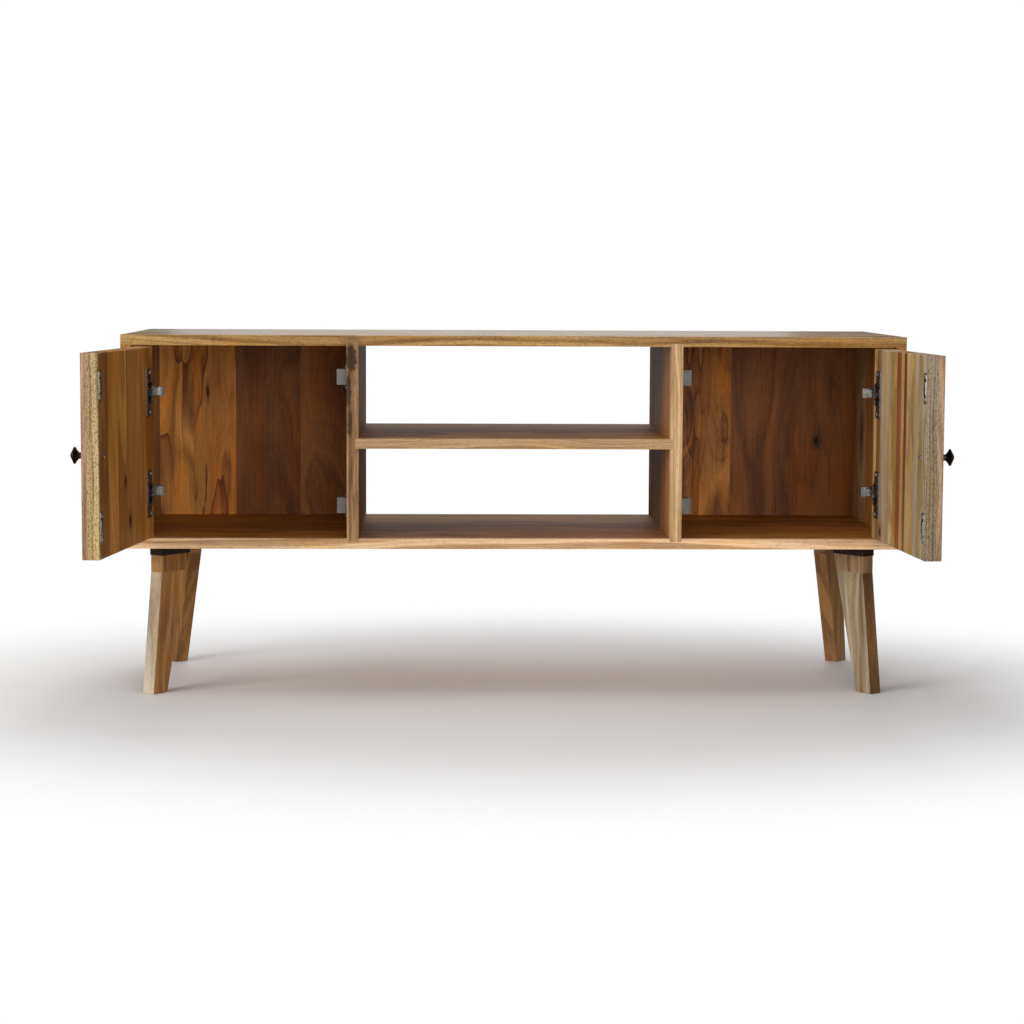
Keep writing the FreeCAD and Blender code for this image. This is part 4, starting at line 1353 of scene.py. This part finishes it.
@dataclass
class Knob:
    """A turned mushroom knob: foot ring, waist, flared cap and low dome."""

    name: str
    centre: Vector
    outward: Vector
    diameter: float
    projection: float
    around: int = 64
    steps: int = 8
    foot_share: float = 0.49
    neck_share: float = 0.376
    head_share: float = 0.42
    rim_share: float = 0.68
    sharp_angle: float = math.radians(38)

    def build(self, workshop: Workshop) -> bpy.types.Object:
        """Turns the knob about its axis.

        Args:
            workshop: The finishes.

        Returns:
            The dressed piece, riding on its door.
        """
        shape = bmesh.new()
        side = UP.cross(self.outward).normalized()
        rings = []
        profile = self._profile()
        for radius, height in profile[:-1]:
            ring = []
            for step in range(self.around):
                angle = 2 * math.pi * step / self.around
                spoke = side * math.cos(angle) + UP * math.sin(angle)
                ring.append(shape.verts.new(self.centre + self.outward * height + spoke * radius))
            rings.append(ring)
        crown = shape.verts.new(self.centre + self.outward * profile[-1][1])
        for lower, upper in zip(rings, rings[1:]):
            for step in range(self.around):
                after = (step + 1) % self.around
                shape.faces.new((lower[step], lower[after], upper[after], upper[step]))
        for step in range(self.around):
            shape.faces.new((rings[-1][step], rings[-1][(step + 1) % self.around], crown))
        shape.faces.new(list(reversed(rings[0])))
        bmesh.ops.recalc_face_normals(shape, faces=shape.faces)
        piece = new_piece(f"{self.name}_door_knob_turned", shape)
        piece.data.shade_smooth()
        piece.data.set_sharp_from_angle(angle=self.sharp_angle)
        workshop.dress(piece, "bronze")
        settle(piece, f"{self.name}_door", f"{self.name}_door_knob")
        return piece

    def _profile(self) -> list[tuple[float, float]]:
        """The knob's outline, from its foot to its crown.

        Returns:
            Radius and height above the door, place by place.
        """
        rim = self.diameter / 2
        high = self.projection
        foot, neck = rim * self.foot_share, rim * self.neck_share
        outline = [(foot, 0.0), (foot, high * 0.048), (foot * 0.95, high * 0.062)]
        for step in range(self.steps + 1):
            turn = step / self.steps
            hollow = math.sin(math.pi * turn / 2)
            outline.append((foot * 0.9 + (neck - foot * 0.9) * hollow, high * (0.068 + 0.10 * turn)))
        head, rim_start = high * self.head_share, high * self.rim_share
        for step in range(self.steps + 1):
            turn = step / self.steps
            flare = turn ** 1.35
            outline.append((neck + (rim * 0.94 - neck) * flare, head + (rim_start - head) * turn))
        bead = high * 0.035
        for step in range(self.steps + 1):
            angle = math.pi * (step / self.steps) - math.pi / 2
            bulge = rim * 0.955 + rim * 0.045 * math.cos(angle)
            outline.append((bulge, rim_start + bead * (1 + math.sin(angle))))
        crown_foot = rim_start + 2 * bead
        outline.append((rim * 0.90, crown_foot + high * 0.004))
        for step in range(1, self.steps + 1):
            turn = step / self.steps
            rise = 0.55 * turn + 0.45 * math.sin(math.pi / 2 * turn)
            outline.append((rim * 0.90 * (1 - turn), crown_foot + (high - crown_foot) * rise))
        return outline


# ------------------------------------------------------------------ doors
@dataclass
class Door:
    """One door with its boards, knob, hinge cups and strike plates."""

    name: str
    staves: Sequence[Plank]
    facing: Sequence[Plank]
    seed: int
    press_radius: float = 0.25 * MM
    knob_share: float = 0.998
    free_edge: Vector = field(init=False)
    outward: Vector = field(init=False)

    def __post_init__(self) -> None:
        """Finds the door's own directions as it is stored, from its joint."""
        joint = next(item for item in frame["joints"] if item["child"] == f"{self.name}_door")
        side = SIDES[self.name]
        closing = math.radians(joint["range_deg"][1]) * joint["axis"][2]
        opened = Matrix.Rotation(-closing, 3, "Z")
        self.free_edge = opened @ (ALONG_X * -side)
        self.outward = opened @ (ALONG_Y * -1)

    def build(self, workshop: Workshop, screws: bpy.types.NodeTree) -> None:
        """Builds every piece of the door.

        Args:
            workshop: The finishes.
            screws: The tree that sets out screws.
        """
        board, facing = f"{self.name}_door_board", f"{self.name}_door_facing"
        GluedPanel(
            board, "door_stave_wood", UP, self.free_edge, self.staves, seed=self.seed
        ).build(workshop)
        GluedPanel(
            facing, "door_facing_wood", UP, self.free_edge, self.facing, seed=self.seed + 2
        ).build(workshop)
        self._knob(workshop)
        pressed = {
            "hinge_cups": "hinge_nickel", "hinge_links": "hinge_nickel", "strike_plates": "plate_steel",
        }
        for node, slot in pressed.items():
            RoundedPart(f"{self.name}_{node}", slot, radius=self.press_radius).build(workshop)
        for node in ("hinge_cup_screws", "strike_screws", "knob_screw"):
            ScrewSet(f"{self.name}_{node}", -self.outward, ScrewHead.PAN, screws).build(workshop)

    def _knob(self, workshop: Workshop) -> None:
        """Builds the knob on the place and size of its CAD node.

        Args:
            workshop: The finishes.
        """
        points = loose_parts(f"{self.name}_door_knob")[0]
        low, high = span(points, self.outward)
        across = span(points, UP)
        sideways = self.outward.cross(UP)
        middle = sideways * (sum(span(points, sideways)) / 2) + UP * (sum(across) / 2)
        projection = (high - low) * self.knob_share
        Knob(
            self.name, middle + self.outward * low, self.outward, across[1] - across[0], projection
        ).build(workshop)


# ------------------------------------------------------------------ carcass fittings
@dataclass
class Fittings:
    """What is screwed to the carcass: hinge arms and plates, catches and their screws."""

    workshop: Workshop
    screws: bpy.types.NodeTree
    arm_radius: float = 0.4 * MM
    plate_radius: float = 0.3 * MM
    catch_radius: float = 0.35 * MM
    magnet_radius: float = 0.2 * MM
    pole_radius: float = 0.15 * MM

    def build(self) -> None:
        """Builds every fitting."""
        parts = []
        for side in SIDES:
            for level in ("lower", "upper"):
                parts += [
                    RoundedPart(f"{side}_{level}_hinge_arm", "hinge_nickel", radius=self.arm_radius),
                    RoundedPart(f"{side}_{level}_hinge_plate", "plate_steel", radius=self.plate_radius),
                    RoundedPart(f"{side}_{level}_catch", "catch_plastic", radius=self.catch_radius),
                ]
        parts += [
            RoundedPart("catch_magnets", "magnet_ferrite", radius=self.magnet_radius),
            RoundedPart("catch_pole_plates", "plate_steel", radius=self.pole_radius),
            ScrewSet("back_panel_screws", ALONG_Y, ScrewHead.SUNK, self.screws),
            ScrewSet("leg_pad_screws", -UP, ScrewHead.SUNK, self.screws),
            ScrewSet("catch_screws", ALONG_X, ScrewHead.PAN, self.screws, mirrored=True),
            ScrewSet("hinge_plate_screws", -ALONG_X, ScrewHead.PAN, self.screws, mirrored=True),
        ]
        for part in parts:
            part.build(self.workshop)
        self.workshop.dress_node("leg_hanger_bolts", "screw_steel")


# ------------------------------------------------------------------ studio
@dataclass
class Studio:
    """The pale floor, the soft lights and the camera."""

    lens: float = 88.52
    sensor: float = 36.0
    station: tuple[float, float, float] = (-0.1035, -3.8835, 0.6475)
    yaw: float = math.radians(-1.62)
    pitch: float = math.radians(5.38)
    roll: float = math.radians(0.25)
    floor_size: float = 40.0
    floor_drop: float = 0.0005
    floor_colour: Colour = (0.92, 0.92, 0.92)
    floor_roughness: float = 0.7
    floor_shape: tuple[float, float, float] = (0.8, 1.0, 1.0)
    floor_fade: float = 0.45
    floor_end: float = 1.05
    target: tuple[float, float, float] = (0.0, 0.0, 0.35)
    room_colour: Colour = (1.0, 1.0, 1.0)
    room_front: float = 0.36
    room_back: float = 0.06
    room_tilt: float = 0.75
    room_turn: float = 0.7

    def build(self) -> None:
        """Sets up everything that isn't part of the stand."""
        self._floor()
        self._lights()
        self._camera()

    def _floor(self) -> None:
        """A plain pale floor that melts into the pale room a little way from the stand."""
        shape = bmesh.new()
        bmesh.ops.create_grid(shape, x_segments=1, y_segments=1, size=self.floor_size / 2)
        floor = new_piece("floor", shape)
        floor.location.z = -self.floor_drop
        material, sketch, shader = blank_material("floor_paint")
        shader.inputs["Base Color"].default_value = opaque(self.floor_colour)
        shader.inputs["Roughness"].default_value = self.floor_roughness
        place = sketch.stretched(sketch.node("ShaderNodeTexCoord").outputs["Object"], self.floor_shape)
        reach = sketch.node("ShaderNodeVectorMath", {0: place}, operation="LENGTH").outputs["Value"]
        sketch.feed(sketch.smooth(reach, self.floor_end, self.floor_fade), shader.inputs["Alpha"])
        floor.data.materials.append(material)

    def _lights(self) -> None:
        """Two large soft lights in front, one above, two behind, and a pale room."""
        self._softbox("key", (-3.1, -2.7, 1.5), 2.0, 88.0)
        self._softbox("fill", (0.7, -4.0, 1.0), 1.6, 44.0)
        self._softbox("overhead", (-0.2, 0.2, 2.6), 1.6, 16.0)
        self._softbox("rear_high", (0.2, 2.4, 3.0), 2.0, 32.0)
        self._softbox("back_card", (0.0, 2.6, 1.0), 1.6, 4.0)
        world = bpy.data.worlds.new("pale_room")
        world.use_nodes = True
        world.node_tree.nodes.clear()
        sketch = NodeSketch(world.node_tree)
        look = sketch.node("ShaderNodeTexCoord").outputs["Generated"]
        aside, ahead, _ = sketch.node("ShaderNodeSeparateXYZ", {0: look}).outputs
        facing = sketch.smooth(ahead, self.room_turn, -self.room_turn)
        leftward = sketch.math("MULTIPLY_ADD", aside, -self.room_tilt, 1.0)
        gloom = sketch.math("MULTIPLY", facing, leftward)
        level = sketch.math("MULTIPLY_ADD", gloom, self.room_front, self.room_back)
        seen = sketch.node("ShaderNodeLightPath").outputs["Is Camera Ray"]
        unseen = sketch.math("SUBTRACT", 1.0, seen)
        strength = sketch.math("MULTIPLY_ADD", level, unseen, seen)
        room = sketch.node("ShaderNodeBackground", {"Color": opaque(self.room_colour), "Strength": strength})
        sketch.node("ShaderNodeOutputWorld", {"Surface": room.outputs[0]})
        bpy.context.scene.world = world
        bpy.context.scene.view_settings.view_transform = "Standard"

    def _softbox(self, name: str, place: tuple[float, float, float], size: float, power: float) -> None:
        """A square area light that faces the middle of the stand.

        Args:
            name: The light's name.
            place: Where it stands.
            size: The side of its square.
            power: Its power in watts.
        """
        light = bpy.data.lights.new(name, "AREA")
        light.size = size
        light.energy = power
        lamp = bpy.data.objects.new(name, light)
        lamp.location = place
        aim = Vector(self.target) - Vector(place)
        lamp.rotation_euler = aim.to_track_quat("-Z", "Y").to_euler()
        bpy.context.scene.collection.objects.link(lamp)

    def _camera(self) -> None:
        """A camera at standing distance, just above the top's height and a little to the left."""
        ahead = Vector((math.sin(-self.yaw), math.cos(-self.yaw), 0))
        right = Vector((ahead.y, -ahead.x, 0))
        forward = ahead * math.cos(self.pitch) - UP * math.sin(self.pitch)
        up = ahead * math.sin(self.pitch) + UP * math.cos(self.pitch)
        turned_right = right * math.cos(self.roll) + up * math.sin(self.roll)
        turned_up = up * math.cos(self.roll) - right * math.sin(self.roll)
        camera = bpy.data.objects.new("camera", bpy.data.cameras.new("camera"))
        camera.data.lens = self.lens
        camera.data.sensor_width = self.sensor
        axes = Matrix((turned_right, turned_up, -forward)).transposed().to_4x4()
        camera.matrix_world = Matrix.Translation(Vector(self.station)) @ axes
        bpy.context.scene.collection.objects.link(camera)
        bpy.context.scene.camera = camera


def build_legs(workshop: Workshop) -> None:
    """Builds the four legs, each of its own board.

    Args:
        workshop: The finishes.
    """
    legs = [
        # Painted light in the legs' colours: the front-left outer face is a painted sheen and its body
        # painted shade; the front-right body is a painted sheen and its outer face painted shade; the
        # rear-left outer face is painted lighter than its body.
        Leg("front_left", -1, -1, Timber.BRACKEN, Timber.SHEEN_ASH, Timber.FALLOW, 0.7),
        Leg("front_right", 1, -1, Timber.GREY, Timber.SHADED_BARK, Timber.MOOR, 0.9),
        Leg("rear_left", -1, 1, Timber.FALLOW, Timber.BRACKEN, Timber.FALLOW, 0.4),
        Leg("rear_right", 1, 1, Timber.BRACKEN, Timber.BRACKEN, Timber.MOOR, 0.5),
    ]
    for leg in legs:
        leg.build(workshop)


def build_doors(workshop: Workshop, screws: bpy.types.NodeTree) -> None:
    """Builds both doors.

    Args:
        workshop: The finishes.
        screws: The tree that sets out screws.
    """
    left_staves = [
        Plank(58, Timber.BISCUIT, 0.2), Plank(44, Timber.BISCUIT, 0.3), Plank(62, Timber.OLIVE, 0.5),
        Plank(50, Timber.BISCUIT, 0.2), Plank(56, Timber.BISCUIT, 0.3), Plank(49, Timber.OLIVE, 0.1),
        Plank(4, Timber.STRAW, 0.5, 1.0),
    ]
    right_tints = [
        Timber.STRAW, Timber.UMBER, Timber.GREY, Timber.TAN, Timber.GREY, Timber.STRAW, Timber.HONEY,
        Timber.RUSSET, Timber.HONEY, Timber.RUSSET, Timber.STRAW, Timber.HONEY, Timber.GREY, Timber.STRAW,
        Timber.GREY,
    ]
    dice = random.Random(17)
    right_staves = [Plank(dice.uniform(15, 29), tint, dice.uniform(0.1, 0.6)) for tint in right_tints]
    right_staves.append(Plank(4, Timber.GREY, 1.3, 0.8))
    left_facing = [
        Plank(78, Timber.TAN, 0.2), Plank(90, Timber.HONEY, 0.4), Plank(85, Timber.STRAW, 0.2),
        Plank(70, Timber.PEACH, 1.1, 0.4),
    ]
    right_facing = [
        Plank(82, Timber.STRAW, 0.2), Plank(74, Timber.TAN, 0.5), Plank(92, Timber.HONEY, 0.3),
        Plank(75, Timber.PEACH, 0.7, 0.4),
    ]
    Door("left", left_staves, left_facing, seed=101).build(workshop, screws)
    Door("right", right_staves, right_facing, seed=107).build(workshop, screws)


def main() -> None:
    """Builds the stand and the studio, in order."""
    logging.basicConfig(level=logging.INFO, format="%(message)s")
    workshop = Workshop()
    screws = screw_tree()
    Carcass(workshop).build()
    build_legs(workshop)
    build_doors(workshop, screws)
    Fittings(workshop, screws).build()
    Studio().build()


if __name__ == "__main__":
    main()
